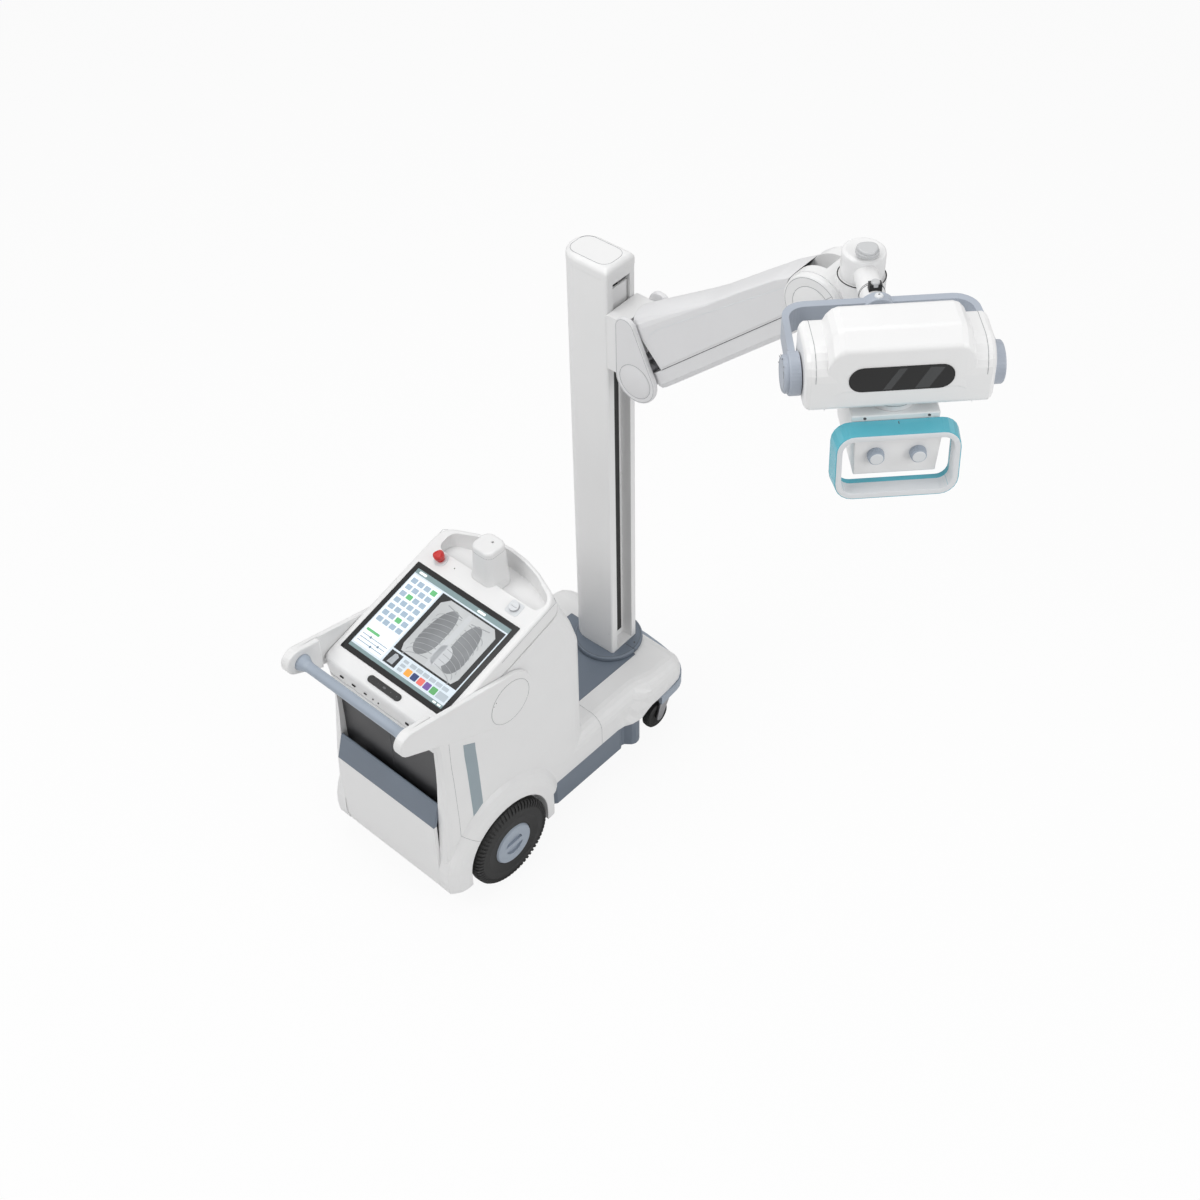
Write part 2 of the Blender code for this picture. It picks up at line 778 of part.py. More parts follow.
def console_controls():
    place = console_empty("display place", GLASS_X, 0.0)
    glass = rounded_rectangle((-GLASS_LENGTH / 2, -GLASS_HALF), (GLASS_LENGTH / 2, GLASS_HALF), 0.004, 2)
    prism("display_panel", glass, "z", GLASS_PROUD - GLASS_THICK, GLASS_PROUD, GLASS, place)
    place = console_empty("stop place", *ESTOP_AT)
    stop = [(0.0, SEAT), (STOP_STEM, SEAT), (STOP_STEM, 0.014), (STOP_RADIUS, 0.017), (STOP_RADIUS, 0.026)]
    stop += [(STOP_RADIUS - 0.005, STOP_HEIGHT - 0.001), (0.0, STOP_HEIGHT)]
    lathe("stop_button", stop, "z", (0, 0, 0), RED, place, 24)
    place = console_empty("key place", *KEY_AT)
    lathe("key_switch", disc_profile(0.0155, SEAT, 0.011, 0.003), "z", (0, 0, 0), STEEL, place, 24)
    place = console_empty("strip place", STRIP_X, STRIP_Y)
    half = STRIP_WIDTH / 2
    reach = STRIP_LENGTH / 2
    capsule = rounded_rectangle((-half, -reach), (half, reach), half * 0.98, 5)
    prism("button_strip", capsule, "z", SEAT, 0.0025, BLACK, place)


def detector_bin():
    """Front panel with its floor, the slanted strip above it and the dark liner behind."""
    panel = [
        (BIN_FACE_X, BIN_LOW),
        (BIN_BACK_X - SEAT, BIN_LOW),
        (BIN_BACK_X - SEAT, BIN_LOW + BIN_FLOOR),
        (BIN_FACE_X + BIN_THICK, BIN_LOW + BIN_FLOOR),
        (BIN_FACE_X + BIN_THICK, BIN_TOP - SEAT),
        (BIN_FACE_X, BIN_TOP - SEAT),
    ]
    prism("bin_panel", panel, "y", -BIN_HALF, BIN_HALF, WHITE)
    strip = [
        (BIN_FACE_X, BIN_TOP),
        (BIN_FACE_X + BIN_THICK, BIN_TOP),
        (STRIP_TOP_X + STRIP_TOP_THICK, STRIP_TOP - 0.003),
        (STRIP_TOP_X + 0.6 * STRIP_TOP_THICK, STRIP_TOP),
        (STRIP_TOP_X, STRIP_TOP),
        (STRIP_TOP_X - 0.004, STRIP_TOP - 0.006),
    ]
    prism("bin_strip", strip, "y", -BIN_HALF, BIN_HALF, SLATE)
    box("bin_liner", (BIN_BACK_X, -BIN_HALF, BIN_LOW), (BIN_BACK_X + LINER, BIN_HALF, RECESS_TOP - SEAT), BLACK)


def push_handle():
    for side, label in ((1, "L"), (-1, "R")):
        arm = prism(
            "handle_arm_" + label,
            handle_outline(),
            "y",
            side * (HANDLE_SEAT_Y + SEAT),
            side * HANDLE_OUTER_Y,
            WHITE,
        )
        thick = prism(
            "handle tip form " + label,
            handle_outline(),
            "y",
            side * HANDLE_INNER_Y,
            side * (HANDLE_OUTER_Y - 0.006),
            WHITE,
        )
        front = box("handle tip limit " + label, (HANDLE_THICK_TO_X, -0.4, 0.5), (0.4, 0.4, 1.0), WHITE)
        cut(thick, front)
        add(arm, thick)
        bevel(arm, 0.004, 2, 60.0)
        boss = lathe(
            "bar socket " + label,
            disc_profile(HANDLE_BAR_RADIUS + SEAT, side * (HANDLE_INNER_Y - 0.01), side * (HANDLE_INNER_Y + 0.010)),
            "y",
            (HANDLE_BAR_X, 0.0, HANDLE_BAR_Z),
            WHITE,
            None,
            24,
        )
        cut(arm, boss)
    end = HANDLE_INNER_Y + 0.010 - SEAT
    flare = HANDLE_INNER_Y - SEAT
    profile = [(0.0, -end), (HANDLE_BAR_RADIUS, -end), (HANDLE_BAR_RADIUS, -flare)]
    profile += [(HANDLE_BOSS_RADIUS, -flare), (HANDLE_BOSS_RADIUS, -flare + 0.006), (0.019, -flare + 0.022)]
    profile += [(HANDLE_BAR_RADIUS, -flare + 0.034)]
    profile += [(radius, -depth) for radius, depth in reversed(profile)]
    lathe("handle_bar", profile, "y", (HANDLE_BAR_X, 0.0, HANDLE_BAR_Z), BLUE_GREY, None, 24)


# Undercarriage


def pan_half():
    """Half plan of the belly pan, rear to front, with a step in behind the wheels."""
    half = FOOT_HALF - PAN_INSET
    return [
        (PAN_REAR, 0.150),
        (PAN_REAR, PAN_NARROW_HALF),
        (PAN_STEP_X, PAN_NARROW_HALF),
        (PAN_STEP_X + 0.010, PAN_NARROW_HALF + 0.004),
        (PAN_STEP_X + 0.027, half - 0.011),
        (PAN_STEP_X + 0.041, half),
        (PAN_NOSE_X - 0.092, half),
        (PAN_NOSE_X - 0.082, half - 0.007),
        (PAN_NOSE_X - 0.072, half - 0.004),
        (PAN_NOSE_X - 0.064, half + 0.006),
        (PAN_NOSE_X - 0.056, PAN_LOBE_HALF - 0.0060),
        (PAN_NOSE_X - 0.044, PAN_LOBE_HALF),
        (PAN_NOSE_X - 0.030, PAN_LOBE_HALF - 0.0005),
        (PAN_NOSE_X - 0.018, PAN_LOBE_HALF - 0.0070),
        (PAN_NOSE_X - 0.007, PAN_LOBE_HALF - 0.0215),
        (PAN_NOSE_X, PAN_LOBE_HALF - 0.0425),
    ]


def undercarriage():
    half = pan_half()
    outline = half + mirrored(half)
    pan = prism("base_skirt", outline, "z", PAN_LOW, SKIRT_TOP, SLATE)
    inner = [(x + (PAN_SKIN if x < 0.0 else 0.0), y - PAN_SKIN) for x, y in half]
    for index in (-1, -2, -3):
        inner[index] = (half[index][0] - PAN_SKIN, inner[index][1])
    hollow = prism("pan hollow", inner + mirrored(inner), "z", PAN_LOW + PAN_SKIN, 0.3, SLATE)
    cut(pan, hollow)
    passage = box(
        "frame passage",
        (PAN_NOSE_X - 0.02, -FRAME_REAR_HALF - 0.002, FRAME_TOP - FRAME_PLATE - SEAT),
        (PAN_NOSE_X + 0.02, FRAME_REAR_HALF + 0.002, 0.3),
        SLATE,
    )
    cut(pan, passage)
    for side, label in ((1, "left"), (-1, "right")):
        hole = lathe(
            "axle hole " + label,
            disc_profile(AXLE_RADIUS + RUNNING, side * 0.19, side * 0.24),
            "y",
            (0.0, 0.0, WHEEL_RADIUS),
            SLATE,
            None,
            20,
        )
        cut(pan, hole)
    frame_low = PAN_LOW + PAN_SKIN + SEAT
    plate = [
        (FRAME_REAR + PAN_SKIN + 0.002, FRAME_REAR_HALF),
        (FRAME_SHOULDER_X, FRAME_REAR_HALF),
        (FRAME_SHOULDER_X + 0.030, FRAME_HALF),
        (FRAME_FRONT - 0.03, FRAME_HALF),
        (FRAME_FRONT, FRAME_HALF - 0.03),
    ]
    frame = prism("base_frame", plate + mirrored(plate), "z", FRAME_TOP - FRAME_PLATE, FRAME_TOP, DARK_STEEL)
    for side, label in ((1, "left"), (-1, "right")):
        near, far = sorted((side * (RAIL_Y - RAIL_WIDTH / 2), side * (RAIL_Y + RAIL_WIDTH / 2)))
        rail = box(
            "frame rail " + label,
            (FRAME_REAR + 0.010, near, frame_low),
            (PAN_NOSE_X - PAN_SKIN - RUNNING, far, FRAME_TOP - FRAME_PLATE / 2),
            DARK_STEEL,
        )
        add(frame, rail)
    box(
        "power_block",
        (BLOCK_X - BLOCK_LENGTH / 2, -BLOCK_WIDTH / 2, FRAME_TOP + SEAT),
        (BLOCK_X + BLOCK_LENGTH / 2, BLOCK_WIDTH / 2, FRAME_TOP + SEAT + BLOCK_HEIGHT),
        DARK_STEEL,
    )
    drum = disc_profile(BEARING_RADIUS, FRAME_TOP + SEAT, COLLAR_LOW - BEARING_GAP)
    lathe("slew_bearing", drum, "z", (MAST_X, MAST_Y, 0.0), DARK_STEEL, None, 40)
    for side, label in ((1, "L"), (-1, "R")):
        start = RAIL_Y + RAIL_WIDTH / 2 + SEAT
        end = WHEEL_OUTER_Y - 0.014
        rim = AXLE_FLANGE_RADIUS - 0.004
        profile = [(0.0, start), (rim, start), (rim, start + AXLE_FLANGE)]
        profile += [(AXLE_RADIUS, start + AXLE_FLANGE), (AXLE_RADIUS, end), (0.0, end)]
        placed = [(radius, side * depth) for radius, depth in profile]
        axle_z = WHEEL_RADIUS
        stub = lathe("rear_axle_" + label, placed, "y", (0.0, 0.0, axle_z), STEEL, None, 24)
        under_plate = box(
            "axle under plate " + label, (-0.1, -0.3, FRAME_TOP - FRAME_PLATE - SEAT), (0.1, 0.3, 0.3), STEEL
        )
        cut(stub, under_plate)


# Wheels


def rear_wheel(side, label):
    place = axis_empty("wheel_axis_" + label, (0.0, side * WHEEL_OUTER_Y, WHEEL_RADIUS))

    def at(depth):
        return -side * depth

    tyre = [
        (RIM_RADIUS, at(0.004)),
        (0.105, at(0.0)),
        (0.128, at(0.002)),
        (0.142, at(0.008)),
        (0.149, at(0.017)),
        (WHEEL_RADIUS, at(0.026)),
        (WHEEL_RADIUS, at(TYRE_WIDTH - 0.022)),
        (0.147, at(TYRE_WIDTH - 0.010)),
        (0.138, at(TYRE_WIDTH - 0.002)),
        (0.120, at(TYRE_WIDTH)),
        (RIM_RADIUS, at(TYRE_WIDTH)),
    ]
    lathe("rear_tyre_" + label, tyre, "y", (0, 0, 0), TYRE, place, 64)
    hub_radius = RIM_RADIUS - SEAT
    proud = side * HUB_PROUD
    bore_end = at(0.013)
    hub = [
        (AXLE_RADIUS + SEAT, at(TYRE_WIDTH - 0.002)),
        (0.050, at(TYRE_WIDTH - 0.002)),
        (hub_radius, at(TYRE_WIDTH - 0.006)),
        (hub_radius, at(0.006)),
        (HUB_CAP_RADIUS, 0.4 * proud),
        (HUB_CAP_RADIUS - 0.004, proud),
        (0.0, proud),
        (0.0, bore_end),
        (AXLE_RADIUS + SEAT, bore_end),
    ]
    made = lathe("rear_hub_" + label, hub_closed(hub), "y", (0, 0, 0), BLUE_GREY, place, 40)
    for half, start in (("upper", 15), ("lower", 195)):
        outline = arc((0.0, 0.0), GRIP_RADIUS, start, start + 150, 10)
        low, high = sorted((side * (HUB_PROUD - GRIP_DEPTH), side * 0.02))
        pocket = prism("hub grip " + half + " " + label, outline, "y", low, high, BLUE_GREY, place)
        cut(made, pocket)


def hub_closed(profile):
    """The profile starting and ending on the axis, so that the blind bore stays open inward."""
    on_axis = [point for point in profile if point[0] < 1e-6]
    start = profile.index(on_axis[-1])
    return profile[start:] + profile[: profile.index(on_axis[0]) + 1]


def caster(side, label):
    turn = axis_empty("caster_axis_" + label, (CASTER_X, side * CASTER_Y, 0.0))
    fork_top = 2 * CASTER_RADIUS + 0.012
    frame_low = FRAME_TOP - FRAME_PLATE
    half = CASTER_WIDTH / 2 + 0.003
    fork = lathe(
        "caster_fork_" + label,
        [
            (0.0, fork_top),
            (0.027, fork_top),
            (0.027, fork_top + 0.014),
            (0.022, fork_top + 0.018),
            (CASTER_STEM_RADIUS, fork_top + 0.018),
            (CASTER_STEM_RADIUS, frame_low - BEARING_GAP),
            (0.0, frame_low - BEARING_GAP),
        ],
        "z",
        (0, 0, 0),
        STEEL,
        turn,
        24,
    )
    for cheek in (1, -1):
        outline = two_circles((-CASTER_TRAIL, CASTER_RADIUS), 0.014, (-0.004, fork_top + 0.004), 0.022, 6)
        low, high = sorted((cheek * half, cheek * (half + CASTER_FORK)))
        plate = prism("fork plate %s %d" % (label, cheek), outline, "y", low, high, STEEL, turn)
        add(fork, plate)
    roll = axis_empty("caster_wheel_axis_" + label, (-CASTER_TRAIL, 0.0, CASTER_RADIUS), parent=turn)
    edge = 0.006
    wide = CASTER_WIDTH / 2
    profile = [(0.0, -wide - 0.0025), (0.012, -wide - 0.0025), (0.012, -wide + 0.003), (0.030, -wide + 0.003)]
    profile += [(0.032, -wide), (CASTER_RADIUS - edge, -wide), (CASTER_RADIUS - 0.0015, -wide + 0.004)]
    profile += [(CASTER_RADIUS, 0.0)]
    profile += [(radius, -depth) for radius, depth in reversed(profile[:-1])]
    lathe("caster_wheel_" + label, profile, "y", (0, 0, 0), TYRE, roll, 32)


# Deck

# Columns: x, lower edge, crown
DECK_SECTIONS = (
    (DECK_START, 0.1923, FOOT_TOP),
    (0.5200, 0.1923, FOOT_TOP),
    (0.5450, 0.1923, FOOT_TOP),
    (0.5700, 0.1923, FOOT_TOP),
    (0.5950, 0.1923, FOOT_TOP),
    (0.6140, 0.1923, FOOT_TOP),
    (0.6400, 0.2050, FOOT_TOP),
    (0.6620, 0.2118, FOOT_TOP),
    (0.7000, 0.2130, FOOT_TOP),
    (0.7400, 0.2170, FOOT_TOP),
    (0.7800, 0.2230, 0.3085),
    (0.8050, 0.2270, 0.3035),
    (0.8250, 0.2305, 0.2925),
    (0.8420, 0.2340, 0.2760),
    (0.8540, 0.2370, 0.2610),
    (0.8610, 0.2390, 0.2500),
    (DECK_FRONT, 0.2400, 0.2450),
)


def deck_low(x):
    """Height of the deck's lower edge at x."""
    for one, two in zip(DECK_SECTIONS, DECK_SECTIONS[1:]):
        if x <= two[0]:
            part = max(0.0, (x - one[0]) / (two[0] - one[0]))
            return one[1] + (two[1] - one[1]) * part
    return DECK_SECTIONS[-1][1]


def deck_half(x, z):
    """Half width of the deck: straight, then out over the casters, then in round the corners."""
    part = (x - FLANK_START - FLANK_LEAN * (z - SKIRT_TOP)) / FLANK_LENGTH
    part = min(1.0, max(0.0, part))
    wide = FOOT_HALF + FLANK_OUT * part * part * (3 - 2 * part)
    start = DECK_FRONT - DECK_CORNER
    if x <= start:
        return wide
    reach = min(1.0, (x - start) / DECK_CORNER)
    return wide - DECK_CORNER * (1 - math.sqrt(max(0.0, 1 - reach * reach)))


def bowed(x, y):
    """The place along the machine of a deck point, drawn back towards the sides of the front."""
    return x - FRONT_BOW * y * y * max(0.0, (x - MAST_X) / (DECK_FRONT - MAST_X))


def deck_ring(row, skin=0.0):
    x, low, crown = row
    turn = min(FOOT_ROUND, 0.9 * (crown - low))
    bend = crown - turn
    ring = [(deck_half(x, low) - skin, low if skin == 0.0 else BODY_LOW)]
    ring.append((deck_half(x, (low + bend) / 2) - skin, (low + bend) / 2))
    for step in range(6):
        angle = math.pi / 2 * step / 5
        z = bend + turn * math.sin(angle)
        ring.append((deck_half(x, z) - turn * (1 - math.cos(angle)) - skin, z - skin * step / 5))
    ring += [(-y, z) for y, z in reversed(ring)]
    place = x if skin == 0.0 or x < DECK_FRONT - 0.02 else x - skin
    return [(bowed(place, y), y, z) for y, z in ring]


def deck():
    cover = loft("deck_cover", [deck_ring(row) for row in DECK_SECTIONS], WHITE)
    rows = [(DECK_START - 0.05,) + DECK_SECTIONS[0][1:]] + list(DECK_SECTIONS[1:])
    cut(cover, loft("deck hollow", [deck_ring(row, DECK_SKIN) for row in rows], WHITE))
    edge = PLATE_HALF + SEAT
    cut(cover, box("plate slot", (PLATE_REAR, -edge, 0.25), (PLATE_FRONT + SEAT, edge, 0.40), WHITE))
    plan = rounded_rectangle((PLATE_REAR + SEAT, -PLATE_HALF), (PLATE_FRONT, PLATE_HALF), 0.004, 2)
    plate = prism("deck_plate", plan, "z", FOOT_TOP - PLATE_THICK, FOOT_TOP, SLATE)
    cut(plate, tower("tower before plate", SEAT))
    for target, label in ((cover, "deck"), (plate, "plate")):
        mouth = disc_profile(BEARING_RADIUS + SEAT, 0.20, 0.45)
        cut(target, lathe(label + " mouth", mouth, "z", (MAST_X, MAST_Y, 0.0), SLATE, None, 48))
    bumper()


def deck_plan(grow, start):
    """Plan of the deck's rim, grown outward, from start round the front."""
    straight = DECK_FRONT - DECK_CORNER
    half = []
    for step in range(3):
        x = start + (straight - start) * step / 3
        half.append((x, deck_half(x, deck_low(x)) + grow))
    corner = (straight, deck_half(straight, deck_low(straight)) - DECK_CORNER)
    half += arc(corner, DECK_CORNER + grow, 90, 0, 6)
    half += [(DECK_FRONT + grow, corner[1] * part) for part in (0.66, 0.33)]
    return [(bowed(x, y), y) for x, y in half]


def bumper():
    outer = deck_plan(BUMPER_PROUD, BUMPER_START)
    inner = deck_plan(BUMPER_PROUD - BUMPER_THICK, BUMPER_START)
    outline = outer + mirrored(outer) + inner_back(inner)
    low = [(x, y, BUMPER_LOW + BUMPER_RISE * (x - BUMPER_START)) for x, y in outline]
    high = [(x, y, deck_low(x) - BUMPER_GAP) for x, y in outline]
    strip = loft("front_bumper", [low, high], BLUE_GREY)
    rows = [(x, edge - SEAT, crown) for x, edge, crown in DECK_SECTIONS]
    cut(strip, loft("deck above bumper", [deck_ring(row) for row in rows], WHITE))


def inner_back(inner):
    """The inner edge, run from the right side back to the left."""
    return [(x, -y) for x, y in inner] + [(x, y) for x, y in reversed(inner)]


# Mast


def column_outline(grow=0.0):
    half = COLUMN_HALF + grow
    front = COLUMN_FRONT + grow
    corner = COLUMN_CORNER
    outline = arc((front - corner, half - corner), corner, 0, 90, 3)
    outline += arc((COLUMN_BACK + COLUMN_HALF, 0.0), half, 90, 270, 12)
    outline += arc((front - corner, -half + corner), corner, 270, 360, 3)
    return outline


def mast(axis):
    column = prism("column", column_outline(), "z", COLUMN_LOW, COLUMN_TOP, GREY, axis)
    channel = box(
        "column channel",
        (COLUMN_FRONT - CHANNEL_DEPTH, -CHANNEL_HALF, CHANNEL_LOW),
        (COLUMN_FRONT + 0.02, CHANNEL_HALF, CHANNEL_TOP),
        GREY,
        axis,
    )
    cut(column, channel)
    rings = [[(a, b, COLUMN_TOP + SEAT) for a, b in column_outline(0.001)]]
    for step in range(6):
        angle = math.pi / 2 * step / 5
        grow = 0.001 - CAP_ROUND * (1 - math.cos(angle))
        height = COLUMN_TOP + CAP_HEIGHT - CAP_ROUND * (1 - math.sin(angle))
        rings.append([(a, b, height) for a, b in column_outline(grow)])
    loft("column_cap", rings, WHITE, axis, 50.0)
    floor = COLUMN_FRONT - CHANNEL_DEPTH
    box(
        "lift_belt",
        (floor + SEAT, -BELT_HALF, CHANNEL_LOW + 0.03),
        (floor + BELT_THICK, BELT_HALF, CHANNEL_TOP - 0.004),
        BLACK,
        axis,
    )
    groove = COLLAR_LOW + 0.005
    profile = [
        (0.0, COLLAR_LOW),
        (COLLAR_RADIUS - 0.003, COLLAR_LOW),
        (COLLAR_RADIUS, COLLAR_LOW + 0.002),
        (COLLAR_RADIUS, groove),
        (COLLAR_RADIUS - 0.002, groove + 0.0005),
        (COLLAR_RADIUS - 0.002, groove + 0.0015),
        (COLLAR_RADIUS - 0.0005, groove + 0.002),
        (COLLAR_RADIUS - 0.0005, COLLAR_TOP - 0.005),
        (COLLAR_RADIUS - 0.003, COLLAR_TOP - 0.0012),
        (COLLAR_RADIUS - 0.007, COLLAR_TOP),
        (0.0, COLLAR_TOP),
    ]
    collar = lathe("column_collar", profile, "z", (0, 0, 0), SLATE, axis, 48)
    cut(collar, prism("column mouth", column_outline(SEAT), "z", 0.2, 0.6, SLATE, axis))


def carriage(axis):
    """The slider in the channel, the block before it and the pair of cheeks."""
    front = COLUMN_FRONT + 0.001
    half = CHEEK_INNER - SEAT
    block = box("carriage", (front, -half, CARRIAGE_LOW), (CARRIAGE_FRONT, half, CARRIAGE_TOP), WHITE, axis)
    tongue = box(
        "carriage tongue",
        (COLUMN_FRONT - CHANNEL_DEPTH + BELT_THICK + 0.006, -CHANNEL_HALF + RUNNING, CARRIAGE_LOW + 0.01),
        (front + 0.01, CHANNEL_HALF - RUNNING, CARRIAGE_TOP - 0.01),
        WHITE,
        axis,
    )
    add(block, tongue)
    ear = box("carriage ear", (front, -half, CHEEK_TOP[1] - 0.047), (EAR_FRONT, half, EAR_TOP), WHITE, axis)
    add(block, ear)
    shield = box(
        "carriage shield",
        (COLUMN_FRONT - 0.014, -CHANNEL_HALF + RUNNING, CARRIAGE_TOP - 0.03),
        (COLUMN_FRONT - 0.008, CHANNEL_HALF - RUNNING, CARRIAGE_SHIELD_TOP),
        WHITE,
        axis,
    )
    add(block, shield)
    for side, label in ((1, "L"), (-1, "R")):
        outline = two_circles((SHOULDER_A, SHOULDER_Z), CHEEK_BIG, CHEEK_TOP, CHEEK_SMALL, 14)
        low, high = sorted((side * CHEEK_INNER, side * CHEEK_OUTER))
        cheek = prism("shoulder_cheek_" + label, outline, "y", low, high, GREY, axis)
        bevel(cheek, 0.003, 2, 60.0)
        bore = lathe(
            "cheek bore " + label,
            disc_profile(SHOULDER_PIN_RADIUS + SEAT, side * (CHEEK_INNER - 0.01), side * (CHEEK_INNER + PIN_DEPTH)),
            "y",
            (SHOULDER_A, 0.0, SHOULDER_Z),
            GREY,
            axis,
            24,
        )
        cut(cheek, bore)
    reach = CHEEK_INNER + PIN_DEPTH - SEAT
    lathe(
        "shoulder_pin",
        disc_profile(SHOULDER_PIN_RADIUS, -reach, reach),
        "y",
        (SHOULDER_A, 0.0, SHOULDER_Z),
        STEEL,
        axis,
        24,
    )


# Arm

# Columns: place along the arm, side top, roof
UPPER_SECTIONS = (
    (0.101, 0.1195, 0.1640),
    (0.172, 0.1134, 0.1520),
    (0.273, 0.1043, 0.1316),
    (0.395, 0.0937, 0.1073),
    (0.531, 0.0850, 0.0932),
    (ARM_LENGTH - 0.085, 0.0730, 0.0810),
    (ARM_LENGTH - 0.012, 0.0585, 0.0648),
)
# Columns: place along the arm, underside, half width
LOWER_SECTIONS = (
    (0.053, -0.0572, ARM_HALF - 0.003),
    (0.101, -0.0582, ARM_HALF),
    (0.354, -0.0628, ARM_HALF),
    (ARM_LENGTH - 0.012, -0.0709, ARM_HALF),
)


def arm_seam(along_arm):
    """Height of the seam between the two covers, which falls towards the elbow."""
    return ARM_SEAM_START - ARM_SEAM_FALL * (along_arm - UPPER_SECTIONS[0][0])


def upper_ring(row, skin=0.0):
    along_arm, side, roof = row
    low = arm_seam(along_arm) if skin == 0.0 else ARM_HOLLOW_LOW
    half = ARM_HALF - skin
    ring = [(half, low)]
    for step in range(6):
        angle = math.pi / 2 * step / 5
        ring.append((half * math.cos(angle), side - skin + (roof - side) * math.sin(angle)))
    ring += [(-b, n) for b, n in reversed(ring[:-1])]
    return [(along_arm, b, n) for b, n in ring]


def lower_ring(row, skin=0.0):
    along_arm, low, wide = row
    top = arm_seam(along_arm) - SEAT if skin == 0.0 else ARM_HOLLOW_TOP
    half = wide - skin
    ring = [(half, top), (half, low + 0.016), (half - 0.006, low + 0.005 + skin), (half - 0.018, low + skin)]
    ring += [(-b, n) for b, n in reversed(ring)]
    return [(along_arm, b, n) for b, n in ring]


def core_outline(grow=0.0):
    """Side view of the arm's bar, from the shoulder to the lower-lying elbow pivot."""
    depth = CORE_DEPTH + grow
    return two_circles((0.0, 0.0), depth + 0.0001, (ARM_LENGTH, ARM_OFFSET), depth, 10)


def arm(axis):
    """The load-bearing bar with a round root and a round tongue, and its two covers."""
    core = prism("arm_core", core_outline(), "y", -CORE_HALF, CORE_HALF, STEEL, axis)
    root = ARM_HALF - 0.0005
    add(core, lathe("arm root", disc_profile(ROOT_RADIUS, -root, root), "y", (0, 0, 0), STEEL, axis, 32))
    tongue = disc_profile(TONGUE_RADIUS, -CORE_HALF, CORE_HALF)
    pivot = (ARM_LENGTH, 0, ARM_OFFSET)
    add(core, lathe("arm tongue", tongue, "y", pivot, STEEL, axis, 32))
    bore = disc_profile(SHOULDER_PIN_RADIUS + SEAT, -0.1, 0.1)
    cut(core, lathe("arm root bore", bore, "y", (0, 0, 0), STEEL, axis, 24))
    cut(core, lathe("arm tongue bore", bore, "y", pivot, STEEL, axis, 24))

    covers = (
        ("arm_upper_cover", upper_ring, UPPER_SECTIONS, GREY),
        ("arm_lower_cover", lower_ring, LOWER_SECTIONS, WHITE),
    )
    for name, ring, sections, finish in covers:
        cover = loft(name, [ring(row) for row in sections], finish, axis)
        rows = list(sections)
        rows[0] = (rows[0][0] + COVER_SKIN,) + rows[0][1:]
        rows[-1] = (ARM_LENGTH,) + rows[-1][1:]
        cut(cover, loft(name + " hollow", [ring(row, COVER_SKIN) for row in rows], finish, axis))
        room = CORE_HALF + SEAT
        cut(cover, prism(name + " core room", core_outline(SEAT), "y", -room, room, finish, axis))
        around = disc_profile(DRUM_RADIUS + DRUM_GAP, -0.1, 0.1)
        cut(cover, lathe(name + " drum room", around, "y", pivot, finish, axis, 48))
        if name == "arm_lower_cover":
            turned = disc_profile(ROOT_RADIUS + RUNNING, -0.1, 0.1)
            cut(cover, lathe(name + " root room", turned, "y", (0, 0, 0), finish, axis, 32))


def elbow(axis):
    """Frame origin on the elbow pivot. The drum carries the lower half of the post."""
    drum = lathe("elbow_bracket", disc_profile(DRUM_RADIUS, -ARM_HALF, ARM_HALF), "y", (0, 0, 0), WHITE, axis, 40)
    post = [
        (0.0, POST_LOWER_LOW),
        (POST_LOWER_RADIUS - 0.008, POST_LOWER_LOW),
        (POST_LOWER_RADIUS, POST_LOWER_LOW + 0.008),
        (POST_LOWER_RADIUS, POST_SPLIT - 0.003),
        (POST_LOWER_RADIUS - 0.004, POST_SPLIT),
        (0.0, POST_SPLIT),
    ]
    add(drum, lathe("post lower form", post, "z", (POST_OUT, 0, 0), WHITE, axis, 40))
    above_split = disc_profile(POST_LOWER_RADIUS, POST_SPLIT, DRUM_RADIUS + OVERSHOOT)
    cut(drum, lathe("post head room", above_split, "z", (POST_OUT, 0, 0), WHITE, axis, 40))
    slot = box("tongue slot", (-0.12, -CORE_HALF - 0.001, -0.12), (0.004, CORE_HALF + 0.001, 0.12), WHITE, axis)
    cut(drum, slot)
    round_slot = disc_profile(TONGUE_RADIUS + RUNNING, -CORE_HALF - 0.001, CORE_HALF + 0.001)
    cut(drum, lathe("tongue room", round_slot, "y", (0, 0, 0), WHITE, axis, 32))
    for side, label in ((1, "left"), (-1, "right")):
        disc = disc_profile(ELBOW_DISC_RADIUS, side * (CORE_HALF + 0.010), side * ELBOW_DISC_OUTER, 0.006)
        add(drum, lathe("elbow cover " + label, disc, "y", (0, 0, 0), WHITE, axis, 40))
    pin = disc_profile(SHOULDER_PIN_RADIUS, -ARM_HALF + 0.010, ARM_HALF - 0.010)
    add(drum, lathe("elbow pin", pin, "y", (0, 0, 0), WHITE, axis, 24))


# Head


